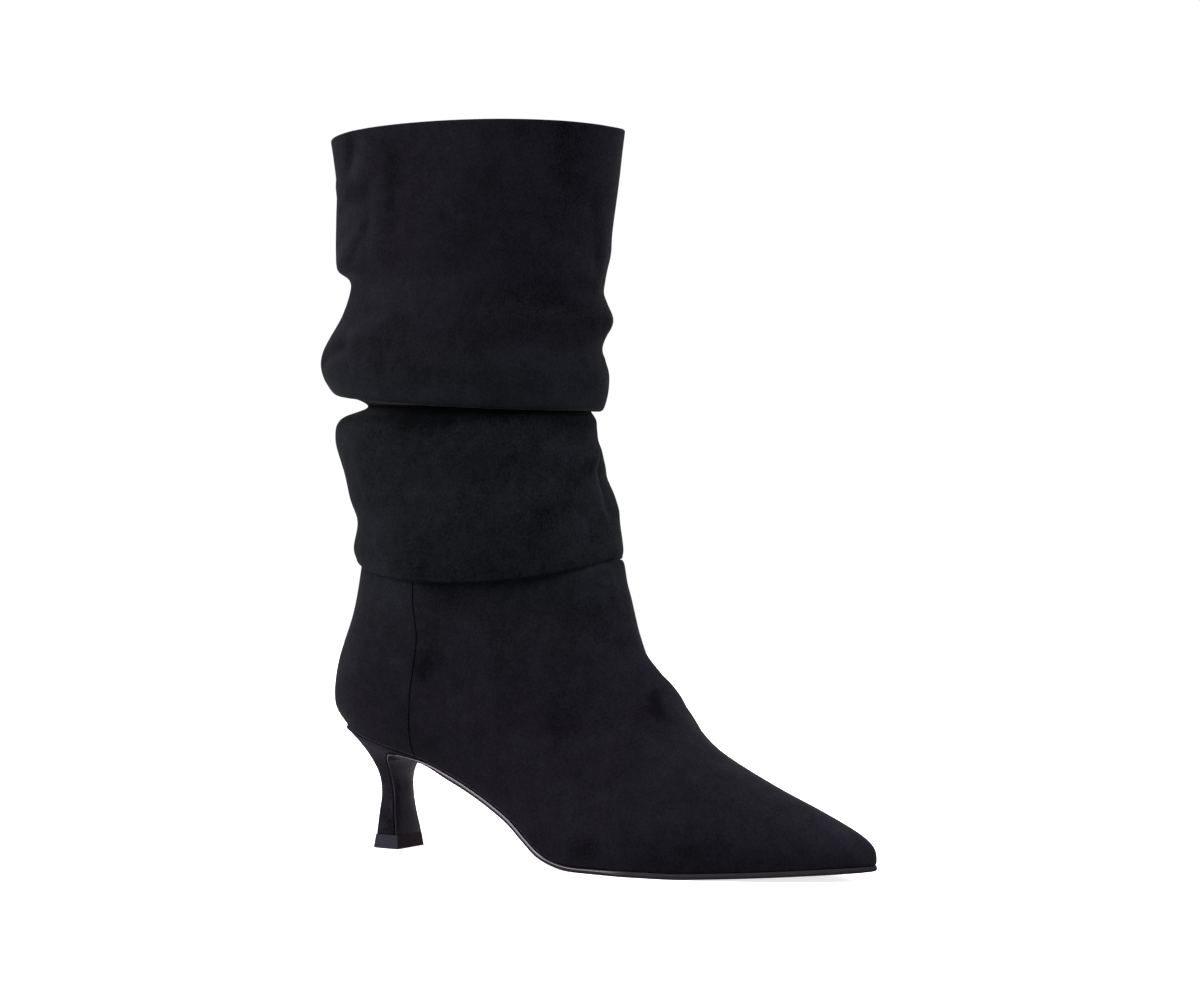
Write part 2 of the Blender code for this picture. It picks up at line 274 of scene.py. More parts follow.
# %% [markdown]
# ## The form of the foot
# The upper was pulled over a last. Its sections fan round the ankle: each starts on the sole line, or
# higher on the back line, and runs over the foot to the ridge of the vamp. Above its widest line a section
# is a round top, and below it an ellipse that the sole cuts off. A foot could be sculpted as well, but
# sections from a table keep to the solid and can be as fine as the creases need.

# %% Sections of the foot
StartPoint = namedtuple("StartPoint", "x z outer inner")
START_LINE = rows_of(StartPoint, [
    (TOE_TIP, 7.2, 0.0, 0.0),
    (260.2, 7.1, 3.4, 3.4),
    (254.0, 6.6, 8.2, 8.2),
    (238.0, 5.4, 15.6, 16.0),
    (217.0, 4.1, 24.6, 25.4),
    (190.0, 2.8, 33.4, 33.8),
    (176.0, 2.7, 35.8, 35.5),
    (162.0, 2.7, 37.0, 36.0),
    (139.0, 2.7, 34.5, 32.0),
    (121.0, 6.8, 30.0, 26.0),
    (104.0, 19.2, 26.5, 22.0),
    (82.0, 31.1, 24.0, 20.5),
    (56.0, 41.4, 22.3, 22.3),
    (30.0, 47.6, 21.0, 21.0),
    (13.5, 51.6, 15.6, 15.6),
    (5.6, 53.6, 7.8, 7.8),
    (2.5, 54.4, 0.0, 0.0),
    (-2.1, 62.8, -7.8, -7.8),
    (0.4, 80.0, -7.8, -7.8),
    (10.2, 105.0, -7.8, -7.8),
    (17.0, 138.5, -7.8, -7.8),
])
Form = namedtuple("Form", "ridge_x ridge_z outer inner widest power lift")
FOOT_FORM = rows_of(Form, [
    (TOE_TIP, 10.5, 0.0, 0.0, 0.35, 2.0, 0.0),
    (260.0, 14.8, 4.0, 4.0, 0.35, 2.0, 0.0),
    (252.5, 20.0, 9.2, 9.2, 0.33, 2.0, 0.0),
    (236.2, 27.6, 16.8, 17.2, 0.30, 1.9, 0.0),
    (212.0, 37.9, 26.0, 26.8, 0.26, 1.8, 0.0),
    (187.0, 51.0, 35.0, 35.2, 0.22, 1.7, 0.0),
    (174.5, 62.5, 37.2, 36.8, 0.21, 1.65, 0.0),
    (168.0, 74.8, 38.6, 37.6, 0.20, 1.6, 0.0),
    (160.6, 82.4, 37.2, 35.6, 0.22, 1.6, 0.0),
    (152.7, 91.0, 35.6, 34.0, 0.28, 1.7, 0.0),
    (148.8, 100.0, 34.8, 33.2, 0.34, 1.8, 0.0),
    (146.2, 107.5, 34.5, 33.4, 0.40, 1.9, 0.0),
    (143.7, 113.5, 34.6, 34.0, 0.44, 2.1, 2.0),
    (141.9, 118.0, 34.9, 34.7, 0.46, 2.2, 4.0),
    (140.5, 121.5, 35.2, 36.0, 0.48, 2.3, 5.5),
    (139.3, 124.5, 35.6, 36.6, 0.49, 2.4, 7.0),
    (138.0, 126.3, 36.2, 37.4, 0.50, 2.4, 8.4),
    (135.4, 127.6, 36.8, 37.8, 0.50, 2.3, 7.2),
    (134.5, 131.2, 37.8, 38.4, 0.50, 2.2, 5.4),
    (134.1, 135.0, 39.2, 39.2, 0.50, 2.1, 2.5),
    (133.8, 138.5, 40.4, 40.4, 0.50, 2.1, 0.0),
])
print("foot:", len(FOOT_FORM), "sections over", TOE_TIP, "mm")

# %% [markdown]
# ## Points of the foot
# A point of the foot is worked out from a place along the tables and from a turn: 0 is on the ridge, and -1
# and 1 are on the line where the section starts. Formulas give a grid of any fineness, which a mesh modelled
# by hand would not. The tread is kept flat, and the toe bends a little to the inner side.

# %% Points from the sections
SEAT_GAP = 0.3
SOLE_TREAD = 2.4
TREAD_LEVEL = SOLE_TREAD + SEAT_GAP
TOE_SWAY = 3.0
BALL_X = 162.0
TOP_SHARE = 0.5
MOST_UPRIGHT = 0.98
TINY = 0.01
SIDES = ("outer", "inner")


def toe_sway(x):
    """How far the centre line bends to the inner side between the ball and the toe tip."""
    return TOE_SWAY * np.clip((x - BALL_X) / (TOE_TIP - BALL_X), 0, None) ** 2


def start_line(places):
    """Where the sections at some places start, with the tread kept flat."""
    start = smooth_table(START_LINE, places, SIDES)
    return start._replace(z=np.maximum(start.z, TREAD_LEVEL))


def foot_points(places, turns):
    """A grid of points of the foot, a row for each place and a column for each turn from -1 to 1."""
    start = StartPoint(*(column[:, None] for column in start_line(places)))
    form = Form(*(column[:, None] for column in smooth_table(FOOT_FORM, places, SIDES)))
    turn = np.asarray(turns)[None, :]
    half = np.where(turn < 0, form.outer, form.inner)
    opening = np.clip(np.where(turn < 0, start.outer, start.inner), 0, None)
    top = 0.5 * np.pi * (1 - np.clip(np.abs(turn) / TOP_SHARE, 0, 1))
    lowest = np.arccos(np.minimum(opening / np.maximum(half, TINY), MOST_UPRIGHT))
    low = lowest * np.clip((np.abs(turn) - TOP_SHARE) / (1 - TOP_SHARE), 0, 1)
    on_top = np.abs(turn) <= TOP_SHARE
    crown = np.clip(np.cos(top), 0, 1) ** (2 / form.power)
    rise = np.sin(top) ** (2 / form.power)
    width = half * np.where(on_top, crown, np.cos(low))
    sunk = 1 - np.sin(low) / np.sin(lowest)
    share = np.where(on_top, form.widest + (1 - form.widest) * rise, form.widest * sunk)
    x = start.x + share * (form.ridge_x - start.x)
    lift = np.where(on_top & (turn > 0), form.lift * crown * rise, 0.0)
    z = start.z + share * (form.ridge_z - start.z) + lift
    return np.stack([x, np.sign(turn) * width + toe_sway(x), z], axis=2)


print("the toe tip bends", toe_sway(TOE_TIP), "mm to the inner side")

# %% [markdown]
# ## Creases
# Suede that has been lasted or slouched is never quite smooth. Each crease is a line from one point of the
# boot to another, with a width and a depth. Points near the line are pushed in for a trough or out for a
# ridge, and the push fades like a bell curve, so that no edge shows where a crease ends. Unlike a brush
# stroke, a line of numbers can be moved later without the others.

# %% Troughs and ridges pressed into a grid of points
Crease = namedtuple("Crease", "x0 y0 z0 x1 y1 z1 width depth")
LEAST_LENGTH = 1e-9


def grid_normals(points, around):
    """Outward normals of a grid; around says that the columns go round in a ring."""
    down = np.gradient(points, axis=0)
    if around:
        across = np.roll(points, -1, axis=1) - np.roll(points, 1, axis=1)
    else:
        across = np.gradient(points, axis=1)
    normals = np.cross(across, down)
    length = np.linalg.norm(normals, axis=2, keepdims=True)
    return normals / np.maximum(length, LEAST_LENGTH)


def line_distance(points, start, end):
    """Distance of points from the straight line between two ends."""
    start, end = np.array(start), np.array(end)
    share = np.clip(((points - start) @ (end - start)) / ((end - start) @ (end - start)), 0, 1)
    return np.linalg.norm(points - start - share[..., None] * (end - start), axis=-1)


def press_creases(points, normals, creases):
    """The points pushed along their normals by a list of creases; a depth below 0 is a ridge."""
    push = np.zeros(points.shape[:2])
    for crease in creases:
        away = line_distance(points, crease[0:3], crease[3:6]) / crease.width
        push -= crease.depth * np.exp(-away ** 2)
    return points + push[..., None] * normals


print("a crease has", ", ".join(Crease._fields))

# %% [markdown]
# ## Shader groups
# What more than one finish needs is kept in a shader group, a small tree with named sockets. Copies of its
# nodes in every material would do the same, but then each change would have to be made in all of them.

# %% Helpers for shader groups
# Where a mix node keeps its colours among its sockets
COLOUR_A, COLOUR_B, COLOUR_OUT = 6, 7, 2
VECTOR, FLOAT, COLOUR = "NodeSocketVector", "NodeSocketFloat", "NodeSocketColor"
NOISE_MIDDLE = 0.5


def add_noise(tree, vector, size, detail):
    """A noise texture with features of a size, which is a socket in metres; gives its value from 0 to 1."""
    wires = {"Vector": vector, "Scale": calculate(tree, "DIVIDE", 1.0, size), "Detail": detail}
    return add_node(tree, "ShaderNodeTexNoise", wires).outputs["Fac"]


def weighted(tree, value, weight, total=NOISE_MIDDLE):
    """The total plus the weighted part of a noise that is above or below its middle."""
    centred = calculate(tree, "SUBTRACT", value, NOISE_MIDDLE)
    return calculate(tree, "MULTIPLY_ADD", centred, weight, total)


def mix_colours(tree, share, colour_a, colour_b, blend="MIX"):
    """The output of a node that mixes two colours."""
    mixed = add_node(tree, "ShaderNodeMix", {0: share, COLOUR_A: colour_a, COLOUR_B: colour_b},
                     data_type="RGBA", blend_type=blend)
    return mixed.outputs[COLOUR_OUT]


def make_group(name, inputs, outputs):
    """An empty shader group with named sockets, what its input node gives, and its output node."""
    group = bpy.data.node_groups.new(name, "ShaderNodeTree")
    for label, kind in inputs:
        group.interface.new_socket(label, in_out="INPUT", socket_type=kind)
    for label, kind in outputs:
        group.interface.new_socket(label, in_out="OUTPUT", socket_type=kind)
    return group, group.nodes.new("NodeGroupInput").outputs, group.nodes.new("NodeGroupOutput")


print("middle of a noise:", NOISE_MIDDLE)

# %% [markdown]
# ## The suede
# Suede is the fuzzy flesh side of a hide. Its short fibres lie in all directions, so it has no gloss, only
# a faint sheen at the edges, and where a hand has brushed it the nap stays darker or lighter in clouds.
# Hairs would be far too many, so a group mixes three noises: wide clouds, small mottles and single fibres.
# Strokes on each piece, kept in an attribute, add the clouds of this boot, and painted shade and painted
# highlights at its folds, creases and edges.

# %% The nap as a shader group
CLOUD_WEIGHT, MOTTLE_WEIGHT, FIBRE_WEIGHT = 0.8, 0.6, 1.3
CLOUD_DETAIL, MOTTLE_DETAIL, FIBRE_DETAIL = 3.0, 4.0, 2.0
MOTTLE_RISE, FIBRE_RISE = 0.5, 1.0
DARK_ROUGHNESS, LIGHT_ROUGHNESS = 0.98, 0.8
NAP_LEAN = (1.0, 1.0, 0.8)
nap_group, given, made = make_group(
    "suede_nap",
    [("Vector", VECTOR), ("Stroke", FLOAT), ("Dark", COLOUR), ("Light", COLOUR),
     ("Cloud Size", FLOAT), ("Mottle Size", FLOAT), ("Fibre Size", FLOAT)],
    [("Color", COLOUR), ("Roughness", FLOAT), ("Height", FLOAT)])
place = given["Vector"]
lean = add_node(nap_group, "ShaderNodeVectorMath", {0: place, 1: NAP_LEAN}, operation="MULTIPLY")
clouds = add_noise(nap_group, place, given["Cloud Size"], CLOUD_DETAIL)
mottles = add_noise(nap_group, place, given["Mottle Size"], MOTTLE_DETAIL)
fibres = add_noise(nap_group, lean.outputs[0], given["Fibre Size"], FIBRE_DETAIL)
tone = weighted(nap_group, clouds, CLOUD_WEIGHT)
tone = weighted(nap_group, mottles, MOTTLE_WEIGHT, tone)
tone = weighted(nap_group, fibres, FIBRE_WEIGHT, tone)
# The strokes add clouds of the nap, and painted shade and painted highlights at folds, creases and edges.
stroked = calculate(nap_group, "ADD", tone, given["Stroke"], use_clamp=True)
wire(nap_group, made, {
    "Color": mix_colours(nap_group, stroked, given["Dark"], given["Light"]),
    "Roughness": spread(nap_group, stroked, DARK_ROUGHNESS, LIGHT_ROUGHNESS),
    "Height": weighted(nap_group, mottles, MOTTLE_RISE, weighted(nap_group, fibres, FIBRE_RISE))})
print("shader group:", nap_group.name, len(nap_group.nodes), "nodes")

# %% [markdown]
# ## A drift of hue
# A second group makes the suede faintly green round the height of the lower leg, fading out towards the
# collar and the toe, where it keeps its violet. It shifts a colour by the height on the boot, so that the hue
# runs on over the hem and the fold without a jump.

# %% The drift as a shader group
DRIFT_MIDDLE = 0.162
DRIFT_FROM, DRIFT_TO = 0.030, 0.095
GREENISH = (0.93, 1.115, 1.0)
drift_group, given, made = make_group(
    "hue_drift", [("Vector", VECTOR), ("Color", COLOUR)], [("Color", COLOUR)])
height = add_node(drift_group, "ShaderNodeSeparateXYZ", {0: given["Vector"]}).outputs["Z"]
away = calculate(drift_group, "ABSOLUTE", calculate(drift_group, "SUBTRACT", height, DRIFT_MIDDLE))
violet = add_node(drift_group, "ShaderNodeMapRange",
                  {"Value": away, "From Min": DRIFT_FROM, "From Max": DRIFT_TO},
                  interpolation_type="SMOOTHSTEP")
drift_tint = mix_colours(drift_group, violet.outputs[0], opaque(GREENISH), opaque(WHITE))
drifted = mix_colours(drift_group, 1.0, given["Color"], drift_tint, "MULTIPLY")
wire(drift_group, made, {"Color": drifted})
print("shader group:", drift_group.name, len(drift_group.nodes), "nodes")

# %% [markdown]
# ## One recipe for every suede
# Foot, leg and heel cover come from different cuts of the hide, so each gets its own material from the
# groups, with its own tints and sizes. The sheen is the same all over a piece and is set on the shader.

# %% Suede materials
Suede = namedtuple("Suede", "name dark light cloud mottle fibre sheen bump")
SUEDES = [
    Suede("foot_suede", (0.0025, 0.0022, 0.0033), (0.0098, 0.0090, 0.0131),
          0.026, 0.0055, 0.0008, 0.08, 0.5),
    Suede("leg_suede", (0.0022, 0.0020, 0.0030), (0.0091, 0.0083, 0.0122),
          0.032, 0.0055, 0.0008, 0.08, 0.5),
    # The leg below the deep fold has a deeper dark, so that the painted shade under the fold goes darker.
    Suede("low_leg_suede", (0.0013, 0.0013, 0.0019), (0.0095, 0.0087, 0.0125),
          0.028, 0.0055, 0.0008, 0.08, 0.5),
    Suede("heel_suede", (0.0020, 0.0016, 0.0026), (0.0206, 0.0168, 0.0238),
          0.018, 0.0050, 0.0008, 0.05, 0.2),
]
SHEEN_TINT = (0.55, 0.53, 0.62)
SHEEN_ROUGHNESS = 0.35
SUEDE_ROUGHNESS = 0.9
SUEDE_GLOSS = 0.02
NAP_DEPTH = 0.0004


def object_place(tree):
    """The output that says where a point is on its piece."""
    return add_node(tree, "ShaderNodeTexCoord").outputs["Object"]


def bump_from(tree, height, strength, distance, shader):
    """A bump of a height socket, linked to the shader's normal."""
    bump = add_node(tree, "ShaderNodeBump", {"Strength": strength, "Distance": distance, "Height": height})
    wire(tree, shader, {"Normal": bump.outputs["Normal"]})


def suede_material(suede):
    """A material in one of the suedes; strokes come from the mesh's own attribute."""
    material, tree, shader = plain_material(suede.name, suede.dark, SUEDE_ROUGHNESS)
    place = object_place(tree)
    strokes = add_node(tree, "ShaderNodeAttribute", attribute_name="stroke")
    nap = add_node(tree, "ShaderNodeGroup", {
        "Vector": place, "Stroke": strokes.outputs["Fac"],
        "Dark": opaque(suede.dark), "Light": opaque(suede.light),
        "Cloud Size": suede.cloud, "Mottle Size": suede.mottle, "Fibre Size": suede.fibre},
        node_tree=nap_group)
    drift = add_node(tree, "ShaderNodeGroup", {"Vector": place, "Color": nap.outputs["Color"]},
                     node_tree=drift_group)
    bump_from(tree, nap.outputs["Height"], suede.bump, NAP_DEPTH, shader)
    wire(tree, shader, {
        "Base Color": drift.outputs["Color"], "Roughness": nap.outputs["Roughness"],
        "Specular IOR Level": SUEDE_GLOSS, "Sheen Weight": suede.sheen,
        "Sheen Roughness": SHEEN_ROUGHNESS, "Sheen Tint": opaque(SHEEN_TINT)})
    return material


suedes = {suede.name: suede_material(suede) for suede in SUEDES}
print("suedes:", list(suedes))

# %% [markdown]
# ## A weave
# Cloth is made of threads that cross. Real threads would be far too many for a boot, so a fine checker of two
# crossing waves stands for them, in colour and in bump. It is a group because the lining and the sock inside
# the foot both take it, each with its own colours and thread.

# %% The weave as a shader group
# Length of one wave of the texture at scale 1
WAVE_UNIT = 2 * math.pi / 20

weave_group, given, made = make_group(
    "weave",
    [("Vector", VECTOR), ("Thread Size", FLOAT), ("Dark", COLOUR), ("Light", COLOUR)],
    [("Color", COLOUR), ("Height", FLOAT)])
wave_scale = calculate(weave_group, "DIVIDE", WAVE_UNIT, given["Thread Size"])
warp, weft = (add_node(weave_group, "ShaderNodeTexWave", {"Vector": given["Vector"], "Scale": wave_scale},
                       bands_direction=way) for way in ("Z", "X"))
both = calculate(weave_group, "MULTIPLY", warp.outputs["Fac"], weft.outputs["Fac"])
wire(weave_group, made, {
    "Color": mix_colours(weave_group, both, given["Dark"], given["Light"]),
    "Height": both})
print("shader group:", weave_group.name, len(weave_group.nodes), "nodes")

# %% [markdown]
# ## The lining
# Inside, a boot like this has a thin woven lining. A real one is cut like the upper and sewn in at the
# collar; here it is only a finish on the inside faces, because nothing of its edges shows.

# %% Lining material
THREAD = 0.0011
LINING_COLOUR = (0.020, 0.020, 0.023)
WEAVE_SHADES = (0.55, 1.5)
WEAVE_ROUGHNESS, WEAVE_GLOSS = 0.85, 0.25
WEAVE_BUMP, WEAVE_DEPTH = 0.4, 0.0003


def woven_material(name, colour, thread):
    """A plain dark weave in one colour."""
    material, tree, shader = plain_material(name, colour, WEAVE_ROUGHNESS)
    dark, light = (opaque(shade * value for value in colour) for shade in WEAVE_SHADES)
    weave = add_node(tree, "ShaderNodeGroup", {
        "Vector": object_place(tree), "Thread Size": thread, "Dark": dark, "Light": light},
        node_tree=weave_group)
    bump_from(tree, weave.outputs["Height"], WEAVE_BUMP, WEAVE_DEPTH, shader)
    wire(tree, shader, {"Base Color": weave.outputs["Color"], "Specular IOR Level": WEAVE_GLOSS})
    return material


lining = woven_material("lining_cloth", LINING_COLOUR, THREAD)
print("lining:", lining.name, "with a thread every", THREAD / MM, "mm")

# %% [markdown]
# ## Marks on the foot
# The lasted foot has few creases: one across the vamp where it bends, a ridge towards the toe, soft hollows
# at the ankle. The nap shows more than they do, in strokes that lie lighter or darker. Some of the strokes
# are painted shade in the crease across the vamp and painted highlight on the ridges, and two are painted
# light on the toe. A random pattern would put them anywhere, so both are placed one by one, as lines on
# the boot.

# %% Strokes and creases of the foot
Stroke = namedtuple("Stroke", "x0 y0 z0 x1 y1 z1 width tone")
FOOT_STROKES = rows_of(Stroke, [
    (71.0, -36.0, 88.0, 66.0, -35.5, 81.0, 4.5, -0.25),
    (54.0, -35.0, 84.0, 55.0, -33.5, 72.0, 4.5, 0.25),
    (78.0, -38.0, 117.0, 85.0, -38.0, 112.0, 5.0, -0.20),
    (48.0, -36.0, 100.0, 50.0, -36.0, 94.0, 6.0, -0.10),
    (134.0, -20.0, 108.0, 141.0, -16.0, 103.0, 6.0, -0.15),
    (130.0, -27.0, 89.0, 139.0, -23.0, 86.0, 6.0, -0.18),
    (125.0, -34.0, 57.0, 136.0, -31.0, 62.0, 6.0, -0.20),
    # The next four are painted shade in the crease across the vamp and painted highlight on two ridges.
    (165.0, -8.5, 73.5, 168.0, -13.0, 67.0, 2.8, -0.75),
    (163.0, -17.0, 65.5, 173.0, -10.0, 63.5, 3.5, -0.30),
    (165.0, 0.0, 77.0, 172.0, -3.0, 68.0, 3.5, 0.25),
    (195.0, -8.3, 44.0, 203.0, -3.8, 40.7, 3.0, 0.30),
    (177.0, -36.0, 22.0, 188.0, -32.0, 26.0, 6.0, 0.22),
    (144.0, -36.5, 9.0, 152.0, -38.0, 11.5, 5.0, -0.28),
    (198.0, -32.0, 13.0, 207.0, -28.0, 15.5, 6.0, -0.22),
    (182.0, -36.0, 9.0, 192.0, -33.5, 8.5, 5.0, -0.16),
    # The next two paint the toe lighter, as painted light.
    (228.0, -17.0, 16.0, 252.0, -7.0, 13.0, 14.0, 0.20),
    (246.0, -8.0, 15.0, 258.0, -2.0, 12.0, 7.0, 0.18),
    (20.0, -26.0, 66.0, 24.0, -28.0, 100.0, 12.0, 0.02),
])
FOOT_CREASES = rows_of(Crease, [
    (164.0, -6.5, 76.0, 168.0, -13.0, 67.0, 3.0, 1.1),
    (166.0, 0.0, 77.5, 173.0, -3.0, 67.5, 4.0, -0.5),
    (163.0, 12.0, 75.0, 171.0, 13.0, 64.0, 4.0, 0.7),
    (194.0, -9.0, 44.5, 204.0, -3.0, 40.5, 3.5, -0.35),
    (146.0, -20.0, 103.0, 151.0, -12.0, 97.0, 6.0, 0.5),
    (148.0, 18.0, 101.0, 152.0, 10.0, 96.0, 6.0, 0.5),
    (26.0, -29.0, 92.0, 44.0, -35.0, 88.0, 7.0, 0.5),
    (26.0, 29.0, 90.0, 44.0, 35.0, 86.0, 7.0, 0.5),
])
print("foot:", len(FOOT_STROKES), "strokes,", len(FOOT_CREASES), "creases")

# %% [markdown]
# ## Meshes from grids
# Foot, leg, sole and heel are all grids of points, so they share their helpers: one finds the strokes' tone
# at each point, one numbers the faces, one makes the piece, and one mends it where points fall together.

# %% Helpers for meshes
SLIVER = 0.1 * TINY


def stroke_tones(points, strokes):
    """How much lighter or darker strokes make the suede at points: nap clouds, painted shade and highlights.
    """
    tones = np.zeros(points.shape[:-1])
    for stroke in strokes:
        away = line_distance(points, stroke[0:3], stroke[3:6]) / stroke.width
        tones += stroke.tone * np.exp(-away ** 2)
    return tones


def grid_faces(rows, columns, around):
    """Corner numbers of the quads of a grid."""
    across = np.arange(columns if around else columns - 1)
    row, column = np.meshgrid(np.arange(rows - 1), across, indexing="ij")
    after = (column + 1) % columns
    quads = np.stack([row * columns + column, row * columns + after,
                      (row + 1) * columns + after, (row + 1) * columns + column], axis=-1)
    return quads.reshape(-1, 4)


def new_piece(name, points, faces, materials, tones=None):
    """A smooth piece of the boot from points in its millimetres, riding on the only body."""
    mesh = bpy.data.meshes.new(name)
    mesh.from_pydata(in_frame(np.reshape(points, (-1, 3))).tolist(), [], np.asarray(faces).tolist())
    if tones is not None:
        mesh.attributes.new("stroke", "FLOAT", "POINT").data.foreach_set("value", np.ravel(tones))
    for material in materials:
        mesh.materials.append(material)
    mesh.shade_smooth()
    piece = bpy.data.objects.new(name, mesh)
    bpy.context.scene.collection.objects.link(piece)
    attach(piece, "root")
    return piece


def mend_mesh(piece, closed):
    """Join points that coincide; a closed piece also has its ends filled and its faces turned outwards."""
    bm = bmesh.new()
    bm.from_mesh(piece.data)
    bmesh.ops.remove_doubles(bm, verts=bm.verts, dist=TINY * MM)
    bmesh.ops.dissolve_degenerate(bm, edges=bm.edges, dist=SLIVER * MM)
    if closed:
        bmesh.ops.holes_fill(bm, edges=[edge for edge in bm.edges if edge.is_boundary])
        bmesh.ops.recalc_face_normals(bm, faces=bm.faces)
    bm.to_mesh(piece.data)
    bm.free()


print("a grid of 3 by 3 points has", len(grid_faces(3, 3, around=False)), "faces")

# %% [markdown]
# ## An even ankle
# The front of the ankle bends in under the hem. Because the sections fan out from there, the bend would run
# on as a line down both sides. Averaging each section with its neighbours takes it away, with less and less
# effect towards the front and towards the heel cup, where the form is right.

# %% Even out the ankle's sides
ANKLE_ROWS = (10.0, 19.8)
EASE_ROWS = 2.0
EASE_TURNS = (0.10, 0.84)
EASE_FADE = 0.25
EASE_PASSES = 150
EASE_SHARE = 0.25


def ease_ankle(points, places, turns):
    """The ankle's sections evened out on its sides, so that the bend under the hem stays at the front."""
    inside = np.minimum(places - ANKLE_ROWS[0], ANKLE_ROWS[1] - places) / EASE_ROWS
    beside = np.minimum(np.abs(turns) - EASE_TURNS[0], EASE_TURNS[1] - np.abs(turns)) / EASE_FADE
    weight = (np.clip(inside, 0, 1)[:, None] * np.clip(beside, 0, 1)[None, :])[1:-1, :, None]
    eased = points.copy()
    for _ in range(EASE_PASSES):
        eased[1:-1] += EASE_SHARE * weight * (eased[:-2] + eased[2:] - 2 * eased[1:-1])
    return eased


print("ankle evened out from section", ANKLE_ROWS[0], "to", ANKLE_ROWS[1])

# %% [markdown]
# ## The upper
# The upper is the foot's grid, fine enough for its creases, with a wall of suede and lining. Solidify gives
# the wall its thickness, inwards, because the grid is the outside of the boot. It stands for the solid.

# %% The upper's mesh
UPPER_WALL = 1.6
FOOT_ROW_STEPS = 8
FOOT_COLUMNS = 145
FOOT_TURNS = np.linspace(-1, 1, FOOT_COLUMNS)

foot_places = fine_places(FOOT_FORM, FOOT_ROW_STEPS)
foot = ease_ankle(foot_points(foot_places, FOOT_TURNS), foot_places, FOOT_TURNS)
foot = press_creases(foot, grid_normals(foot, around=False), FOOT_CREASES)
upper = new_piece("boot_upper", foot, grid_faces(*foot.shape[:2], around=False),
                  [suedes["foot_suede"], lining], stroke_tones(foot, FOOT_STROKES))
mend_mesh(upper, closed=False)
upper_wall = upper.modifiers.new("wall", "SOLIDIFY")
upper_wall.thickness = UPPER_WALL * MM
upper_wall.offset = -1
upper_wall.use_even_offset = True
upper_wall.material_offset = 1
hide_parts("upper")
print("upper:", len(upper.data.polygons), "faces before its wall")

# %% [markdown]
# ## The slouched leg
# The leg is a stack of rings. Its back and front edges go in and out with the folds, and half way up the
# leg folds right over itself, which gives the deep shadow line. Each ring is a soft oval; its sides may
# hang lower than front and back. A cloth simulation would slouch too, but not in these places.

# %% Rings of the leg
SHAFT_POWER = 2.1
SAG_POWER = 1.5
Ring = namedtuple("Ring", "back_x back_z front_x front_z half side_z tilt")
SHAFT_RINGS = rows_of(Ring, [
    (12.8, 132.0, 138.0, 129.4, 42.2, 123.2, 3.6),
    (11.5, 135.5, 138.3, 133.5, 43.0, 129.7, 2.5),
    (13.6, 144.5, 136.0, 145.0, 43.2, 142.0, 1.0),
    (9.5, 155.0, 132.5, 155.0, 42.6, 153.5, 0.5),
    (6.6, 165.5, 128.3, 164.0, 42.4, 163.0, 0.0),
    (2.5, 176.5, 127.5, 174.0, 43.3, 174.5, 0.0),
    (1.8, 182.0, 125.5, 179.0, 43.3, 180.5, 0.0),
    (2.6, 186.5, 125.0, 184.0, 42.4, 185.5, 0.0),
    (6.5, 190.0, 124.8, 188.0, 40.5, 189.0, 0.0),
    (18.5, 194.0, 122.0, 192.5, 37.0, 193.5, 0.0),
    (11.0, 199.0, 125.0, 191.6, 41.8, 194.0, 0.0),
    (2.8, 200.2, 127.6, 192.6, 44.9, 195.0, 0.0),
    (-1.8, 204.0, 129.6, 197.6, 46.4, 201.0, 0.0),
    (-4.7, 209.0, 130.5, 203.0, 46.8, 206.0, 0.0),
    (-5.5, 214.0, 130.4, 208.0, 46.9, 211.0, 0.0),
    (-4.0, 219.0, 128.6, 213.5, 46.6, 216.5, 0.0),
    (0.0, 225.0, 127.6, 219.0, 46.0, 222.5, 0.0),
    (6.0, 234.0, 132.7, 230.0, 45.2, 231.5, 0.0),
    (10.6, 244.0, 129.6, 237.5, 44.6, 241.0, 0.0),
    (10.5, 249.5, 127.7, 242.0, 44.6, 246.0, 0.0),
    (3.8, 254.5, 128.5, 247.0, 45.0, 251.0, 0.0),
    (2.8, 262.0, 130.2, 256.0, 45.6, 259.5, 0.0),
    (2.8, 276.5, 132.8, 272.0, 45.5, 274.5, 0.0),
    (2.9, 290.0, 135.7, 289.0, 45.3, 289.5, 0.0),
    (1.2, 301.5, 137.6, 302.5, 45.6, 303.2, 0.0),
    (-0.5, 310.5, 139.0, 311.8, 46.2, 313.6, 0.0),
])


def soft_power(values, power):
    """Sines or cosines bent into a soft oval."""
    return np.sign(values) * np.abs(values) ** (2 / power)


def shaft_points(places, angles):
    """A grid of points of the leg; angles run from the back at 0 round the outer side."""
    ring = Ring(*(column[:, None] for column in smooth_table(SHAFT_RINGS, places)))
    along = -soft_power(np.cos(angles), SHAFT_POWER)[None, :]
    across = -soft_power(np.sin(angles), SHAFT_POWER)[None, :]
    middle_x = 0.5 * (ring.back_x + ring.front_x)
    middle_z = 0.5 * (ring.back_z + ring.front_z)
    x = middle_x + along * (ring.front_x - middle_x)
    sag = np.abs(across) ** SAG_POWER * (ring.side_z - middle_z)
    z = middle_z + along * (ring.front_z - middle_z) + sag + across * ring.tilt
    return np.stack([x, across * ring.half, z], axis=2)


print("leg:", len(SHAFT_RINGS), "rings, collar at", SHAFT_RINGS[-1].side_z, "mm")
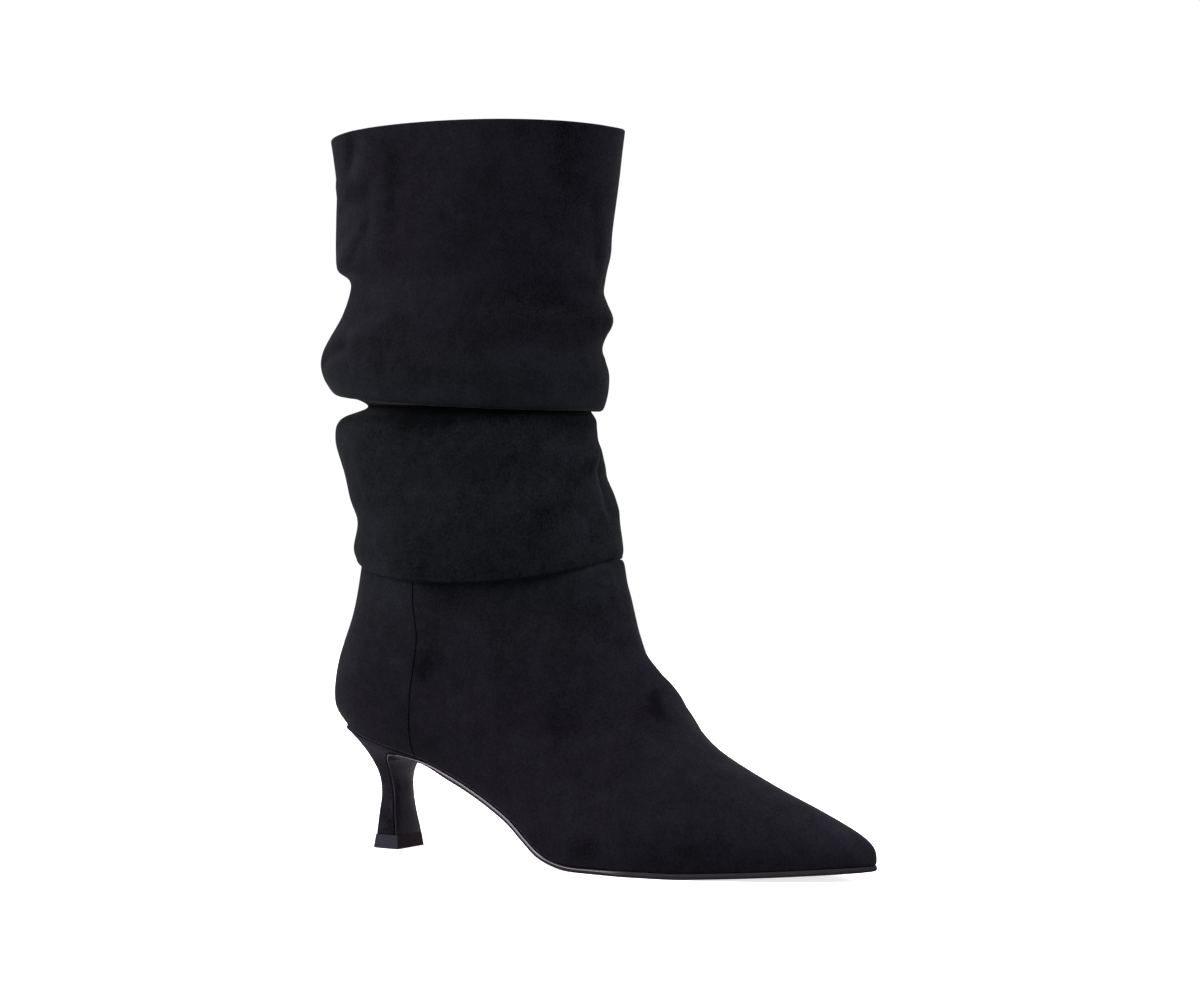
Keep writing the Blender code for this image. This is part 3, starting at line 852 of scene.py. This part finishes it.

# %% [markdown]
# ## Folds of the leg
# Between the large folds run smaller ones, which start at an edge and die out on the side. They are laid
# out round the leg: by the angle from the back, in degrees, and by the height. Each becomes a
# crease between two points of the leg. Strokes are laid out alike, with a tone in place of the depth: most
# darken the trough of a fold as painted shade and lighten its ridge as painted highlight; the rest are clouds
# of the nap.

# %% Small folds, by angle and height
Fold = namedtuple("Fold", "angle0 z0 angle1 z1 width depth")
LOW_FOLDS = rows_of(Fold, [
    (199, 177, 190, 163, 2.6, 2.0),
    (190, 163, 184, 149, 2.6, 2.0),
    (194, 176, 186, 163, 3.0, -0.9),
    (186, 163, 180, 150, 3.0, -0.9),
    (206, 167, 199, 149, 5.0, -1.4),
    (160, 158, 181, 167, 4.5, 0.9),
    (136, 146, 160, 152, 4.5, 0.8),
    (78, 184, 110, 186, 6.0, 0.8),
    (44, 178, 66, 167, 6.0, 0.8),
    (30, 147, 62, 143, 4.0, 0.6),
    (300, 180, 274, 170, 6.0, 0.8),
    (222, 150, 244, 146, 4.5, 0.8),
    (330, 146, 300, 142, 4.0, 0.7),
])
HIGH_FOLDS = rows_of(Fold, [
    (40, 214, 58, 221, 4.0, 1.6),
    (58, 221, 84, 217, 4.5, 0.9),
    (58, 223, 78, 231, 4.5, -1.0),
    (116, 240, 143, 238, 6.0, 1.2),
    (153, 236, 186, 229, 6.0, 1.5),
    (140, 263, 184, 247, 7.0, -1.0),
    (172, 284, 183, 254, 5.0, 0.8),
    (149, 310, 151, 286, 5.0, 0.7),
    (34, 290, 66, 295, 3.5, -0.8),
    (44, 281, 66, 285, 4.0, 0.8),
    (38, 254, 64, 268, 4.0, -0.8),
    (54, 257, 68, 271, 3.0, 0.6),
    (67, 310, 61, 292, 4.0, -0.6),
    (57, 308, 53, 296, 3.5, 0.7),
    (81, 300, 83, 275, 5.0, 0.6),
    (122, 303, 120, 286, 6.0, 0.5),
    (170, 218, 205, 222, 4.5, 0.9),
    (316, 216, 276, 223, 4.5, 1.4),
    (222, 236, 262, 241, 5.5, 1.0),
    (210, 262, 250, 255, 6.0, -0.8),
    (236, 308, 239, 282, 5.0, 0.6),
    (305, 304, 292, 284, 4.0, 0.6),
    (345, 268, 15, 270, 6.0, 0.6),
])
# Dark strokes along the troughs of the folds are painted shade, light ones along their ridges painted
# highlight.
LEG_STROKES = rows_of(Fold, [
    (149, 309, 151, 290, 4.4, -0.30),
    (173, 281, 183, 252, 5.0, -0.30),
    (142, 263, 182, 249, 5.0, 0.20),
    (118, 240, 143, 238, 6.0, -0.22),
    (153, 236, 184, 230, 6.0, -0.26),
    (44, 216, 58, 221, 4.0, -0.24),
    (60, 221, 82, 218, 4.0, -0.14),
    (58, 222, 76, 230, 3.5, 0.26),
    (36, 290, 66, 295, 3.0, 0.28),
    (50, 282, 64, 286, 4.0, -0.24),
    (72, 287, 70, 268, 4.0, 0.14),
    (40, 255, 60, 268, 3.5, 0.22),
    (54, 257, 68, 271, 2.5, -0.22),
    (67, 310, 61, 293, 4.0, 0.22),
    (57, 307, 53, 296, 3.5, -0.22),
    (81, 299, 80, 258, 5.0, -0.19),
    (122, 302, 120, 287, 6.0, -0.14),
    (70, 244, 118, 246, 10.0, 0.20),
    (160, 302, 164, 284, 8.0, -0.13),
    (84, 185, 104, 187, 6.0, -0.22),
    (138, 147, 158, 152, 5.0, -0.22),
    (160, 158, 180, 166, 4.0, -0.28),
    (194, 176, 186, 163, 2.2, 0.50),
    (186, 163, 180, 150, 2.2, 0.50),
    (50, 165, 56, 150, 8.0, 0.10),
])
print("folds:", len(LOW_FOLDS), "below the deep fold,", len(HIGH_FOLDS), "above it")

# %% [markdown]
# ## From folds to creases
# An angle and a height have to become a point of the leg. Of all points of the plain leg at that angle the
# one nearest to the height is taken, so that a fold stays on the suede where the leg goes in and out.

# %% Points of the folds
LEG_POINT_STEPS = 4


def leg_point(degrees, z):
    """The point of the leg's plain form at an angle and nearest to a height."""
    places = fine_places(SHAFT_RINGS, LEG_POINT_STEPS)
    column = shaft_points(places, np.array([math.radians(degrees)]))[:, 0]
    return column[np.argmin(np.abs(column[:, 2] - z))]


def along_leg(kind, fold):
    """A fold of the leg as a crease or a stroke between points."""
    start, end = leg_point(fold.angle0, fold.z0), leg_point(fold.angle1, fold.z1)
    return kind(*start, *end, fold.width, fold.depth)


low_creases = [along_leg(Crease, fold) for fold in LOW_FOLDS]
high_creases = [along_leg(Crease, fold) for fold in HIGH_FOLDS]
leg_strokes = [along_leg(Stroke, fold) for fold in LEG_STROKES]
print("creases of the leg:", len(low_creases) + len(high_creases), "strokes:", len(leg_strokes))

# %% [markdown]
# ## The leg with its folds
# The rings give the plain leg, and the small folds are pressed into it. What lies under the deep fold takes
# only the low ones and what lies over it only the high ones, because the two layers are so near to each
# other that a crease meant for one would mark the other as well.

# %% The leg's form
LEG_ROW_STEPS = 6
LEG_COLUMNS = 200
FOLD_RING = 9
COLLAR_CUT = 0.13

leg_angles = np.linspace(0, 2 * math.pi, LEG_COLUMNS, endpoint=False)
leg_places = fine_places(SHAFT_RINGS, LEG_ROW_STEPS)
leg_places[-1] -= COLLAR_CUT
leg = shaft_points(leg_places, leg_angles)
leg_normals = grid_normals(leg, around=True)
fold_row = FOLD_RING * LEG_ROW_STEPS
leg[:fold_row] = press_creases(leg[:fold_row], leg_normals[:fold_row], low_creases)
leg[fold_row:] = press_creases(leg[fold_row:], leg_normals[fold_row:], high_creases)
leg_normals = grid_normals(leg, around=True)
print("leg:", leg.shape[0], "rows of", leg.shape[1], "points")

# %% [markdown]
# ## The leg's wall
# The suede of the leg turns over at the collar and at the hem. The wall is one closed skin: up the outside,
# over the collar in a half round, down the inside and round the hem, so that no open edge is left where one
# can look in. The inside faces take the lining. Under the hem and in the deep fold the suede is painted
# darker, as painted shade; a band of painted shade below the fold and a painted highlight on its lip go all
# the way round.

# %% The leg's mesh
SHAFT_WALL = 1.6
TURN_STEPS = 6
# Painted shade under the hem and in the deep fold.
FOLD_AND_HEM_SHADE = 0.4
LINED, LOW = 1, 2
Band = namedtuple("Band", "ring reach tone")
# A band of painted shade below the deep fold and one of painted highlight on its lip.
FOLD_SHADE_AND_HIGHLIGHT_BANDS = [
    Band(8.3, 1.3, -0.35),
    Band(11.6, 0.7, 0.16),
]


def turned_edge(edge, normals, onward, wall):
    """Rows of a half round over an edge, from the outside to the inside."""
    middle = edge - 0.5 * wall * normals
    angles = np.linspace(0, math.pi, TURN_STEPS + 2)[1:-1]
    return [middle + 0.5 * wall * (math.cos(a) * normals + math.sin(a) * onward) for a in angles]


def unit(vectors):
    """Vectors of length one."""
    return vectors / np.linalg.norm(vectors, axis=-1, keepdims=True)


inside = leg - SHAFT_WALL * leg_normals
over_collar = turned_edge(leg[-1], leg_normals[-1], unit(leg[-1] - leg[-2]), SHAFT_WALL)
under_hem = turned_edge(leg[0], leg_normals[0], unit(leg[0] - leg[1]), SHAFT_WALL)
skin = np.vstack([leg, np.array(over_collar), inside[::-1], np.array(under_hem[::-1]), leg[:1]])
skin_faces = grid_faces(len(skin), LEG_COLUMNS, around=True)
skin_faces[skin_faces >= (len(skin) - 1) * LEG_COLUMNS] -= (len(skin) - 1) * LEG_COLUMNS
skin = skin[:-1]
leg_tones = stroke_tones(skin, leg_strokes)
# Painted shade under the hem.
leg_tones[-TURN_STEPS:] -= FOLD_AND_HEM_SHADE
for band in FOLD_SHADE_AND_HIGHLIGHT_BANDS:
    away = (leg_places - band.ring) / band.reach
    leg_tones[:len(leg)] += band.tone * np.exp(-away ** 2)[:, None]
# Painted shade in the deep fold.
leg_tones[fold_row - LEG_ROW_STEPS // 2:fold_row + LEG_ROW_STEPS] -= FOLD_AND_HEM_SHADE
shaft = new_piece("boot_leg", skin, skin_faces,
                  [suedes["leg_suede"], lining, suedes["low_leg_suede"]], leg_tones)
lined_from = len(leg) + TURN_STEPS + LEG_ROW_STEPS
lined_to = len(leg) + TURN_STEPS + len(inside) - 1
face_rows = np.arange(len(skin_faces)) // LEG_COLUMNS
below_fold = (face_rows < fold_row) | (face_rows >= lined_to)
lined = (face_rows >= lined_from) & (face_rows < lined_to)
finish = np.where(lined, LINED, np.where(below_fold, LOW, 0))
shaft.data.polygons.foreach_set("material_index", finish.astype(np.int32))
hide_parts("shaft")
print("leg:", len(shaft.data.polygons), "faces")

# %% [markdown]
# ## Seams
# The back panel and the vamp meet in a side seam on each side of the foot, and the leg is closed by a seam
# down its back. A closed seam is two rolls of suede side by side with a dark line between them. Painted
# lines would stay flat in the light, so Geometry Nodes sweep a round roll along a path on the surface; each
# roll is sunk so that only its top shows.

# %% A roll along a path, made by Geometry Nodes
ROLL_SIDES = 10


def roll_tree():
    """A node tree that turns a path of edges into a roll, with its radius and material as inputs."""
    tree = bpy.data.node_groups.new("seam_roll", "GeometryNodeTree")
    face = tree.interface
    face.new_socket("Geometry", in_out="INPUT", socket_type="NodeSocketGeometry")
    radius = face.new_socket("Radius", in_out="INPUT", socket_type="NodeSocketFloat")
    finish = face.new_socket("Material", in_out="INPUT", socket_type="NodeSocketMaterial")
    face.new_socket("Geometry", in_out="OUTPUT", socket_type="NodeSocketGeometry")
    given = add_node(tree, "NodeGroupInput")
    path = add_node(tree, "GeometryNodeMeshToCurve", {0: given.outputs["Geometry"]})
    circle = add_node(tree, "GeometryNodeCurvePrimitiveCircle",
                      {"Resolution": ROLL_SIDES, "Radius": given.outputs["Radius"]})
    sweep = add_node(tree, "GeometryNodeCurveToMesh",
                     {"Curve": path.outputs[0], "Profile Curve": circle.outputs[0], "Fill Caps": True})
    smooth = add_node(tree, "GeometryNodeSetShadeSmooth", {0: sweep.outputs[0]})
    real = add_node(tree, "GeometryNodeRealizeInstances", {0: smooth.outputs[0]})
    dress = add_node(tree, "GeometryNodeSetMaterial",
                     {0: real.outputs[0], "Material": given.outputs["Material"]})
    add_node(tree, "NodeGroupOutput", {0: dress.outputs[0]})
    return tree, radius.identifier, finish.identifier


ROLL_TREE, ROLL_RADIUS, ROLL_MATERIAL = roll_tree()


def sweep_rolls(name, paths, radius, material):
    """A piece with a roll along each path of points in the frame."""
    points = np.vstack(paths)
    ends = np.cumsum([len(path) for path in paths])
    edges = [(i, i + 1) for i in range(len(points) - 1) if i + 1 not in ends]
    mesh = bpy.data.meshes.new(name)
    mesh.from_pydata(points.tolist(), edges, [])
    piece = bpy.data.objects.new(name, mesh)
    bpy.context.scene.collection.objects.link(piece)
    sweep = piece.modifiers.new("roll", "NODES")
    sweep.node_group = ROLL_TREE
    sweep[ROLL_RADIUS] = radius
    sweep[ROLL_MATERIAL] = material
    bpy.context.view_layer.update()
    made = bpy.data.meshes.new_from_object(piece.evaluated_get(bpy.context.evaluated_depsgraph_get()))
    made.name = name
    piece.modifiers.clear()
    piece.data = made
    return piece


print("roll:", ROLL_SIDES, "sides, inputs", ROLL_RADIUS, "and", ROLL_MATERIAL)

# %% [markdown]
# ## Sewing along a path
# A seam is sewn from points on the surface and the directions that point out of it. The rolls lie to both
# sides of the path, deep in the suede, and the dark line lies in the valley between them.

# %% Rolls and line of one seam
ROLL_SIZE = 1.3
ROLL_SHOWN = 0.08
LINE_SIZE = 0.28
LINE_SUNK = 0.3
SHADOW_COLOUR = (0.0012, 0.0011, 0.0014)
SHADOW_ROUGHNESS = 0.95

shadow, shadow_tree, shadow_shader = plain_material("seam_shadow", SHADOW_COLOUR, SHADOW_ROUGHNESS)
wire(shadow_tree, shadow_shader, {"Specular IOR Level": 0.0})


def sew_seam(name, points, normals, suede, slot):
    """Two sunk rolls along a path and the dark line between them."""
    across = unit(np.cross(np.gradient(points, axis=0), normals))
    sunk = (ROLL_SIZE - ROLL_SHOWN) * MM
    apart = math.sqrt(ROLL_SIZE ** 2 - (ROLL_SIZE - ROLL_SHOWN) ** 2) * MM
    rolls = [points + way * apart * across - sunk * normals for way in (-1, 1)]
    line = [points - LINE_SUNK * LINE_SIZE * MM * normals]
    for label, paths, size, material in ((name, rolls, ROLL_SIZE, suede),
                                         (f"{name}_line", line, LINE_SIZE, shadow)):
        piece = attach(sweep_rolls(label, paths, size * MM, material), "root")
        print(label, "has", len(piece.data.polygons), "faces")


print("rolls", 2 * ROLL_SIZE, "mm thick, of which", ROLL_SHOWN, "mm show")

# %% [markdown]
# ## The side seams
# Each side seam runs from under the hem down to the waist of the sole, in a slight S. Its table gives only
# length and height; a ray from the side finds the point on the suede, so the seam follows every crease.

# %% Side seams
SideSeam = namedtuple("SideSeam", "x z")
SIDE_SEAM = rows_of(SideSeam, [
    (63.4, 124.0),
    (62.4, 111.0),
    (63.4, 96.0),
    (60.8, 83.0),
    (57.6, 72.0),
    (55.4, 61.5),
    (53.4, 52.5),
    (52.2, 45.4),
    (52.2, 42.4),
])
SEAM_STEPS = 10
SIDE_REACH = 0.2


def skin_tree(piece):
    """A tree of a piece's faces, to find points on its surface."""
    corners = [vertex.co for vertex in piece.data.vertices]
    return BVHTree.FromPolygons(corners, [face.vertices for face in piece.data.polygons])


def side_path(skin, side):
    """Points and normals of the side seam; side is -1 for the outer side and 1 for the inner one."""
    seam = smooth_table(SIDE_SEAM, fine_places(SIDE_SEAM, SEAM_STEPS))
    found = []
    for x, z in zip(seam.x, seam.z):
        origin = Vector(in_frame((x, 0.0, z))) + Vector((0.0, side * SIDE_REACH, 0.0))
        spot, normal, _, _ = skin.ray_cast(origin, Vector((0.0, -side, 0.0)))
        if spot is not None:
            found.append((*spot, *normal))
    found = np.array(found)
    return found[:, :3], found[:, 3:]


foot_skin = skin_tree(upper)
for label, side in (("outer", -1), ("inner", 1)):
    sew_seam(f"{label}_seam", *side_path(foot_skin, side), suedes["foot_suede"], "foot_suede")

# %% [markdown]
# ## The back seam
# The leg is one cut of suede, closed behind. Its seam follows the first column of the leg's grid, from the
# hem to just under the collar, through every fold.

# %% Back seam of the leg
BACK_ROWS = slice(2, -1)
sew_seam("back_seam", in_frame(leg[BACK_ROWS, 0]), leg_normals[BACK_ROWS, 0],
         suedes["leg_suede"], "leg_suede")

# %% [markdown]
# ## Streaks and wear
# A glossy finish is never even: faint streaks keep it from looking new, and where the edge of the sole
# touches the ground it is worn dull. A painted mask could say where, but an attribute on the sole does it
# with less, because wear belongs to a place and not to a finish. One group serves all the smooth finishes.

# %% Streaks and wear as a shader group
STREAK_SCALE, STREAK_DETAIL = 140.0, 4.0
STREAK_LEAST, STREAK_MOST = 0.7, 1.4
WORN_ROUGHNESS = 0.75

streak_group, given, made = make_group(
    "worn_streaks",
    [("Vector", VECTOR), ("Roughness", FLOAT), ("Worn", FLOAT)],
    [("Roughness", FLOAT), ("Height", FLOAT)])
noise = add_node(streak_group, "ShaderNodeTexNoise", {
    "Vector": given["Vector"], "Scale": STREAK_SCALE, "Detail": STREAK_DETAIL}).outputs["Fac"]
streaks = calculate(streak_group, "MULTIPLY", given["Roughness"],
                    spread(streak_group, noise, STREAK_LEAST, STREAK_MOST))
dulled = calculate(streak_group, "MULTIPLY_ADD", given["Worn"], WORN_ROUGHNESS, streaks)
wire(streak_group, made, {"Roughness": dulled, "Height": noise})
print("shader group:", streak_group.name, len(streak_group.nodes), "nodes")

# %% [markdown]
# ## Lacquers
# The edge of the sole and the flap are lacquered, and the tip of the heel is satin plastic. On a real boot
# these are paints and a moulding. Here one recipe makes them all, with a colour and a gloss for each.

# %% Lacquers
Lacquer = namedtuple("Lacquer", "name colour roughness gloss")
LACQUERS = [
    Lacquer("sole_lacquer", (0.006, 0.0055, 0.007), 0.15, 0.7),
    Lacquer("flap_lacquer", (0.0127, 0.0094, 0.0163), 0.26, 0.45),
    Lacquer("tip_plastic", (0.0145, 0.0145, 0.0225), 0.42, 0.1),
    Lacquer("tip_front", (0.0155, 0.0106, 0.0150), 0.5, 0.15),
]
LACQUER_TINT = (0.94, 0.80, 1.0)
STREAK_BUMP, STREAK_DEPTH = 0.04, 0.0003


def lacquer_material(lacquer):
    """A smooth dark finish with faint streaks; gloss is its mirror share."""
    material, tree, shader = plain_material(lacquer.name, lacquer.colour, lacquer.roughness)
    worn = add_node(tree, "ShaderNodeAttribute", attribute_name="worn")
    streaks = add_node(tree, "ShaderNodeGroup", {
        "Vector": object_place(tree), "Roughness": lacquer.roughness, "Worn": worn.outputs["Fac"]},
        node_tree=streak_group)
    bump_from(tree, streaks.outputs["Height"], STREAK_BUMP, STREAK_DEPTH, shader)
    wire(tree, shader, {
        "Roughness": streaks.outputs["Roughness"], "Specular IOR Level": lacquer.gloss,
        "Specular Tint": opaque(LACQUER_TINT)})
    return material


lacquers = {lacquer.name: lacquer_material(lacquer) for lacquer in LACQUERS}
print("lacquers:", list(lacquers))

# %% [markdown]
# ## The tread
# The tread is matte rubber with a fine pebble grain against slipping. The pebbles are too small to model, so
# the cells of a Voronoi texture stand for them, in roughness and in bump.

# %% Tread
TREAD_COLOUR = (0.012, 0.012, 0.0125)
PEBBLE_SCALE = 900.0
PEBBLE_BUMP, PEBBLE_DEPTH = 0.35, 0.0003
VALLEY_ROUGHNESS, PEBBLE_ROUGHNESS = 0.75, 0.5

tread, tree, shader = plain_material("sole_tread", TREAD_COLOUR, VALLEY_ROUGHNESS)
pebbles = add_node(tree, "ShaderNodeTexVoronoi", {
    "Vector": object_place(tree), "Scale": PEBBLE_SCALE}).outputs["Distance"]
bump_from(tree, pebbles, PEBBLE_BUMP, PEBBLE_DEPTH, shader)
wire(tree, shader, {"Roughness": spread(tree, pebbles, VALLEY_ROUGHNESS, PEBBLE_ROUGHNESS)})
print("tread:", tread.name)

# %% [markdown]
# ## Sections of the heel
# The sole's flap lies on the front of the heel, so the heel's sections come first: each has a front and a
# back edge, half a width and a roundness.

# %% The heel's sections, which the sole's flap follows
HeelSection = namedtuple("HeelSection", "front_x front_z back_x back_z half power")
HEEL_BLOCK = rows_of(HeelSection, [
    (56.0, 41.0, 3.8, 53.5, 22.6, 2.6),
    (38.5, 43.4, 7.4, 51.5, 20.2, 2.6),
    (32.4, 41.6, 10.8, 48.0, 16.0, 2.8),
    (29.6, 38.0, 15.8, 41.5, 11.8, 3.0),
    (28.9, 32.0, 20.5, 32.7, 8.4, 3.4),
    (29.6, 24.0, 21.7, 24.0, 7.2, 4.0),
    (30.5, 15.5, 20.9, 15.5, 8.0, 4.5),
    (32.1, 6.3, 20.3, 6.3, 9.3, 5.0),
])
HEEL_TIP = rows_of(HeelSection, [
    (33.6, 6.0, 20.0, 6.0, 9.2, 6.0),
    (34.3, 0.0, 19.1, 0.0, 10.0, 6.0),
])
print("heel:", len(HEEL_BLOCK), "sections, tip:", len(HEEL_TIP))

# %% [markdown]
# ## The line of the sole
# The sole is a thin sheet. It lies flat under the ball, follows the waist up to the heel and turns down the
# front of the heel as a flap. Its top is the line that the upper starts on, a thin gap lower, so the two
# can't drift apart.

# %% Rows of the sole and its two edges
SOLE_FLAP = 1.2
SOLE_MARGIN = 0.6
HEEL_SEAT_ROW = 12
SOLE_ROW_PITCH = 0.5
SOLE_ROW_STEPS = 4
SoleRow = namedtuple("SoleRow", "x z outer inner thickness")


def sole_rows():
    """The top of the sole from the toe tip to the foot of the flap, a few rows for each of the upper's."""
    start = start_line(np.arange(0, HEEL_SEAT_ROW, SOLE_ROW_PITCH))
    rows = [SoleRow(x, z, outer + SOLE_MARGIN, inner + SOLE_MARGIN, SOLE_TREAD)
            for x, z, outer, inner in zip(*start)]
    rows[0] = rows[0]._replace(x=TOE_TIP + SOLE_MARGIN, outer=0.0, inner=0.0)
    for section in HEEL_BLOCK:
        rows.append(SoleRow(section.front_x, section.front_z, section.half, section.half, SOLE_FLAP))
    return rows


coarse = sole_rows()
sole = smooth_table(coarse, fine_places(coarse, SOLE_ROW_STEPS), SIDES)
heading = unit(np.gradient(np.column_stack([sole.x, sole.z]), axis=0))
above = np.column_stack([heading[:, 1], np.zeros(len(heading)), -heading[:, 0]])
middle = np.column_stack([sole.x, toe_sway(sole.x), sole.z]) - SEAT_GAP * above
beside = np.array([0.0, 1.0, 0.0])
outer_edge = middle - np.clip(sole.outer, 0, None)[:, None] * beside
inner_edge = middle + np.clip(sole.inner, 0, None)[:, None] * beside
print("sole:", len(coarse), "rows,", len(sole.x), "fine ones")

# %% [markdown]
# ## The edge of the sole
# The edge is rounded and lacquered. The outline is one loop from the flap round the toe and back, and the
# rounding points away from that loop, so it goes round the toe without a corner. Each row becomes a ring:
# inner edge, underside, outer edge, top. The flap bulges a little and is cut level above the tip.

# %% Rings of the sole
SOLE_ACROSS = 10
EDGE_STEPS = 8
EDGE_ROUND = 0.7
FLAP_BULGE = 1.3
FLAP_FOOT = 6.12

outline = np.vstack([outer_edge[:0:-1], inner_edge])
outline_above = np.vstack([above[:0:-1], above])
outward = unit(np.cross(np.gradient(outline, axis=0), outline_above))
count = len(sole.x)
flap_start = SOLE_ROW_STEPS * (len(coarse) - len(HEEL_BLOCK) + 1)
outer_out, inner_out = outward[:count][::-1], outward[count - 1:]
edge_angles = np.linspace(0.5 * math.pi, -0.5 * math.pi, EDGE_STEPS + 1)
shares = np.linspace(0, 1, SOLE_ACROSS + 1)[1:-1, None]
arch = 4 * shares * (1 - shares)


def edge_points(row, edge, out, angles):
    """Points of the rounded edge of one row."""
    half_thick = 0.5 * sole.thickness[row]
    reach = EDGE_ROUND * half_thick
    hub = edge[row] - half_thick * above[row] - reach * out[row]
    return [hub + reach * math.cos(a) * out[row] + half_thick * math.sin(a) * above[row] for a in angles]


loops = []
for row in range(count):
    inner_side = edge_points(row, inner_edge, inner_out, edge_angles)
    outer_side = edge_points(row, outer_edge, outer_out, -edge_angles)
    swell = FLAP_BULGE * np.clip((row - flap_start) / SOLE_ROW_STEPS, 0, 1) * arch
    bottom = list(inner_side[-1] + shares * (outer_side[0] - inner_side[-1]) - swell * above[row])
    top = list(outer_side[-1] + shares * (inner_side[0] - outer_side[-1]))
    loops.append(inner_side + bottom + outer_side + top)
loops = np.array(loops)
loops[-1, :, 2] = FLAP_FOOT
print("sole:", count, "rings of", loops.shape[1], "points")

# %% [markdown]
# ## The sole's mesh
# Underneath, the sole takes the tread and, on the flap, its own lacquer. The attribute for wear rises to one
# past the ball, where the edge meets the ground.

# %% Mesh and finishes of the sole
SHARP_CUT = math.radians(60)
WORN_FADE = 12.0
TREAD, FLAP = 1, 2

sole_faces = grid_faces(count, loops.shape[1], around=True)
sole_piece = new_piece("boot_sole", loops, sole_faces,
                       [lacquers["sole_lacquer"], tread, lacquers["flap_lacquer"]])
face_columns = np.arange(len(sole_faces)) % loops.shape[1]
under = (face_columns >= EDGE_STEPS) & (face_columns < EDGE_STEPS + SOLE_ACROSS)
on_flap = np.arange(len(sole_faces)) // loops.shape[1] >= flap_start
sole_finish = np.where(under, np.where(on_flap, FLAP, TREAD), 0)
sole_piece.data.polygons.foreach_set("material_index", sole_finish.astype(np.int32))
worn_share = np.clip((loops[:, :, 0] - BALL_X) / WORN_FADE + 0.5, 0, 1)
sole_piece.data.attributes.new("worn", "FLOAT", "POINT").data.foreach_set("value", np.ravel(worn_share))
mend_mesh(sole_piece, closed=True)
sole_piece.data.set_sharp_from_angle(angle=SHARP_CUT)
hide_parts("outsole")
print("sole:", len(sole_piece.data.polygons), "faces")

# %% [markdown]
# ## The heel and its tip
# A kitten heel is a slim block that flares at both ends, covered in suede before it is fixed on. It is
# lofted through D sections with a flat front. The tip below it is hard plastic, which takes the wear. A
# narrow bevel gives both the soft edges that catch the light. Along the heel's top edge, where it meets the
# upper, the suede is painted dark as painted shade, and strokes paint a lighter sheen on the top of its
# sides.

# %% Heel and tip
HEEL_ROW_STEPS, TIP_ROW_STEPS = 6, 1
HEEL_SIDES = 56
SOFT_EDGE = math.radians(38)
FRONT_FACING = 0.9
HEEL_TONE = -0.23
# Painted shade along the heel's top edge, where it meets the upper.
HEEL_EDGE_SHADE = -1.0
# Painted sheen on the top of the heel's sides.
HEEL_SHEEN_STROKES = rows_of(Stroke, [
    (10.0, -11.0, 50.0, 31.0, -17.0, 44.0, 8.0, 0.98),
    (10.0, 11.0, 50.0, 31.0, 17.0, 44.0, 8.0, 0.98),
    (24.0, -8.0, 34.0, 24.0, -7.0, 26.0, 5.0, 0.10),
])
HEEL_BEVEL, TIP_BEVEL = 0.2, 0.15
BEVEL_STEPS = 3


def heel_block(name, sections, steps, materials, bevel):
    """A block lofted through D sections, closed at its ends, with narrow round edges.

    A second material goes on its flat front.
    """
    columns = smooth_table(sections, fine_places(sections, steps))
    section = HeelSection(*(column[:, None] for column in columns))
    angles = np.linspace(0, math.pi, HEEL_SIDES + 1)[None, :]
    across = -np.sign(np.cos(angles)) * np.abs(np.cos(angles)) ** (2 / section.power)
    along = np.clip(np.sin(angles), 0, 1) ** (2 / section.power)
    x = section.front_x + along * (section.back_x - section.front_x)
    z = section.front_z + along * (section.back_z - section.front_z)
    points = np.stack([x, across * section.half, z], axis=2)
    # Painted sheen near the top, and painted shade along the top edge of the heel.
    tones = HEEL_TONE + stroke_tones(points, HEEL_SHEEN_STROKES)
    tones[0] += HEEL_EDGE_SHADE
    piece = new_piece(name, points, grid_faces(*points.shape[:2], around=True), materials, tones)
    mend_mesh(piece, closed=True)
    for face in piece.data.polygons:
        face.material_index = int(len(materials) > 1 and face.normal.x > FRONT_FACING)
    piece.data.set_sharp_from_angle(angle=SOFT_EDGE)
    edge = piece.modifiers.new("soft_edge", "BEVEL")
    edge.width = bevel * MM
    edge.segments = BEVEL_STEPS
    edge.limit_method = "ANGLE"
    edge.angle_limit = SOFT_EDGE
    return piece


heel = heel_block("heel_block", HEEL_BLOCK, HEEL_ROW_STEPS, [suedes["heel_suede"]], HEEL_BEVEL)
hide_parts("heel")
tip_finishes = [lacquers["tip_plastic"], lacquers["tip_front"]]
heel_tip = heel_block("heel_tip_piece", HEEL_TIP, TIP_ROW_STEPS, tip_finishes, TIP_BEVEL)
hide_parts("heel_tip")
print("heel:", len(heel.data.polygons), "faces, tip:", len(heel_tip.data.polygons), "faces")

# %% [markdown]
# ## The insole
# The insole of the solid model is already right: a flat board that shows only from above. It keeps its
# solid and gets a cloth of its own.

# %% Insole cloth
SOCK_COLOUR = (0.017, 0.017, 0.019)
SOCK_THREAD = 1.4 * THREAD

sock = woven_material("sock_cloth", SOCK_COLOUR, SOCK_THREAD)
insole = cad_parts["insole"]
insole.data.materials.clear()
insole.data.materials.append(sock)
print("insole:", sock.name)
